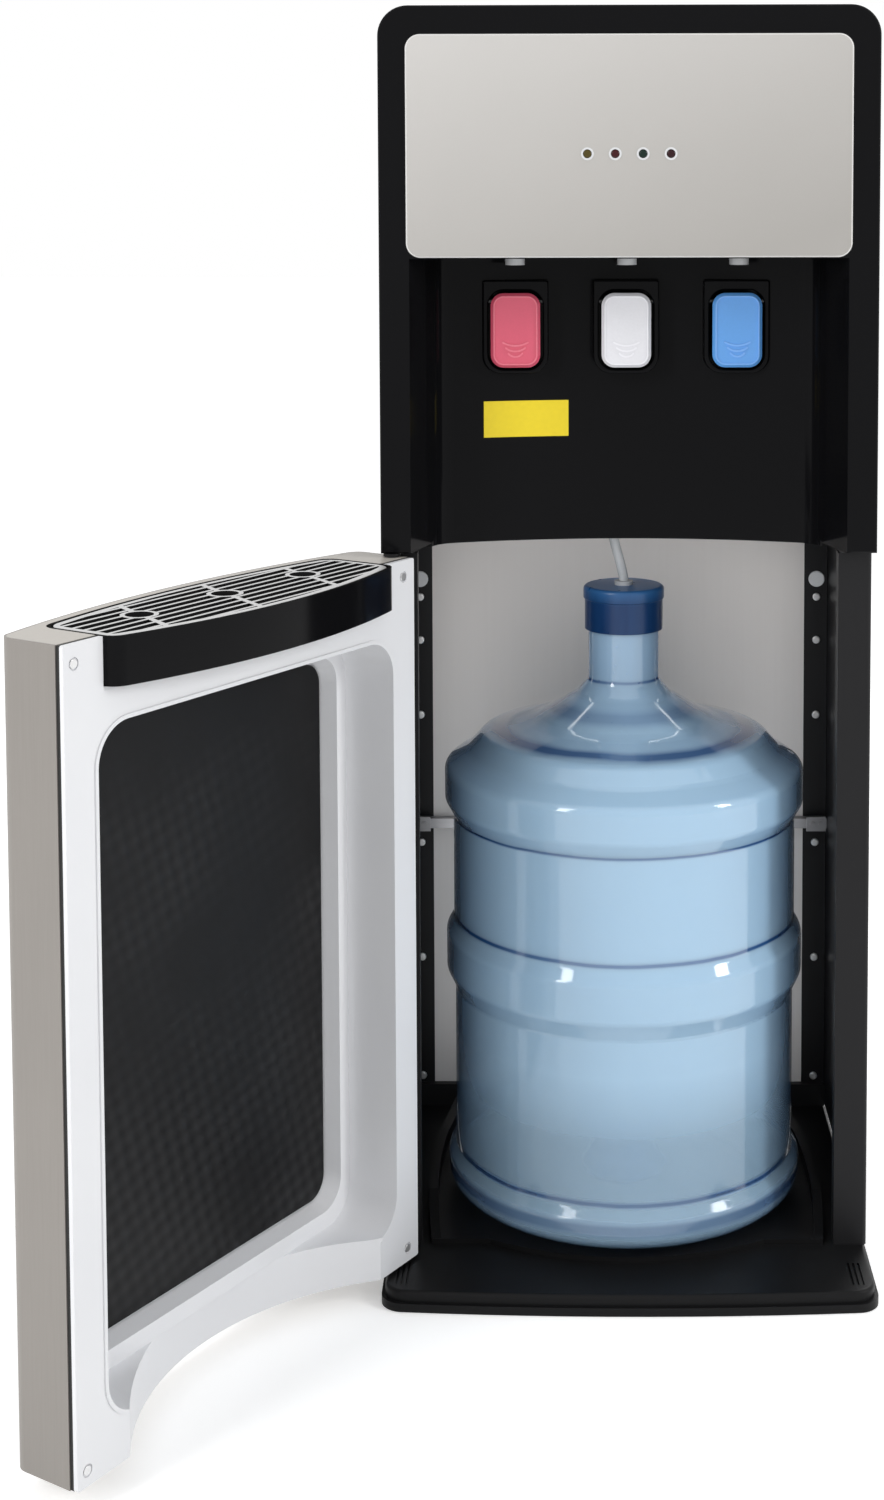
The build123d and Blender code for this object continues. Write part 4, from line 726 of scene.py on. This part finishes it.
lamps = {
    "keyLeft": {"place": (-1.7, -1.9, 1.6), "aim": (-0.1, -0.1, 0.45), "size": (0.5, 1.6), "power": 26},
    "fillRight": {"place": (2.1, -0.95, 1.45), "aim": (0, -0.1, 0.45), "size": (0.36, 0.9), "power": 20},
    "rearRim": {"place": (0.6, 1.8, 1.8), "aim": (0, 0, 0.5), "size": (1.2, 1.2), "power": 18},
    # soft light on the bay's back, from beside the bottle and under the deck
    "bayLeft": {"place": (-0.14, 0.06, 0.26), "aim": (-0.06, 0.15, 0.26), "size": (0.02, 0.44),
                "power": 0.085},
    "bayRight": {"place": (0.14, 0.06, 0.26), "aim": (0.06, 0.15, 0.26), "size": (0.02, 0.44),
                 "power": 0.085},
    "bayTop": {"place": (0.0, 0.045, 0.522), "aim": (0.0, 0.15, 0.38), "size": (0.27, 0.02), "power": 0.06},
}


def aimed(place, aim):
    return (Vector(aim) - Vector(place)).to_track_quat("-Z", "Y")


def makeLamps():
    for name, settings in lamps.items():
        light = bpy.data.lights.new(name, "AREA")
        light.shape = "RECTANGLE"
        light.size, light.size_y = settings["size"]
        light.energy = settings["power"]
        lamp = bpy.data.objects.new(name, light)
        bpy.context.scene.collection.objects.link(lamp)
        lamp.location = settings["place"]
        lamp.rotation_mode = "QUATERNION"
        lamp.rotation_quaternion = aimed(settings["place"], settings["aim"])


cameraView = {
    "place": (-0.0505965, -1.6774339, 0.7980362), "pitch": 4.1108, "yaw": 0.4429, "roll": -0.1209,
    "lens": 53.5298, "shift": (-0.065, -0.28),
}


def makeCamera():
    pitch, yaw, roll = (math.radians(cameraView[key]) for key in ("pitch", "yaw", "roll"))
    right = Vector((math.cos(yaw), math.sin(yaw), 0))
    ahead = Vector((-math.sin(yaw) * math.cos(pitch), math.cos(yaw) * math.cos(pitch), -math.sin(pitch)))
    upward = right.cross(ahead)
    turnedRight = right * math.cos(roll) + upward * math.sin(roll)
    turnedUp = upward * math.cos(roll) - right * math.sin(roll)
    data = bpy.data.cameras.new("camera")
    data.lens = cameraView["lens"]
    data.shift_x, data.shift_y = cameraView["shift"]
    camera = bpy.data.objects.new("camera", data)
    bpy.context.scene.collection.objects.link(camera)
    turn = Matrix((turnedRight, turnedUp, -ahead)).transposed()
    camera.matrix_world = Matrix.Translation(cameraView["place"]) @ turn.to_4x4()
    bpy.context.scene.camera = camera


makeStage()
makeWorld()
makeLamps()
makeCamera()
bpy.context.scene.view_settings.view_transform = "Standard"
print("stage, light and camera made")
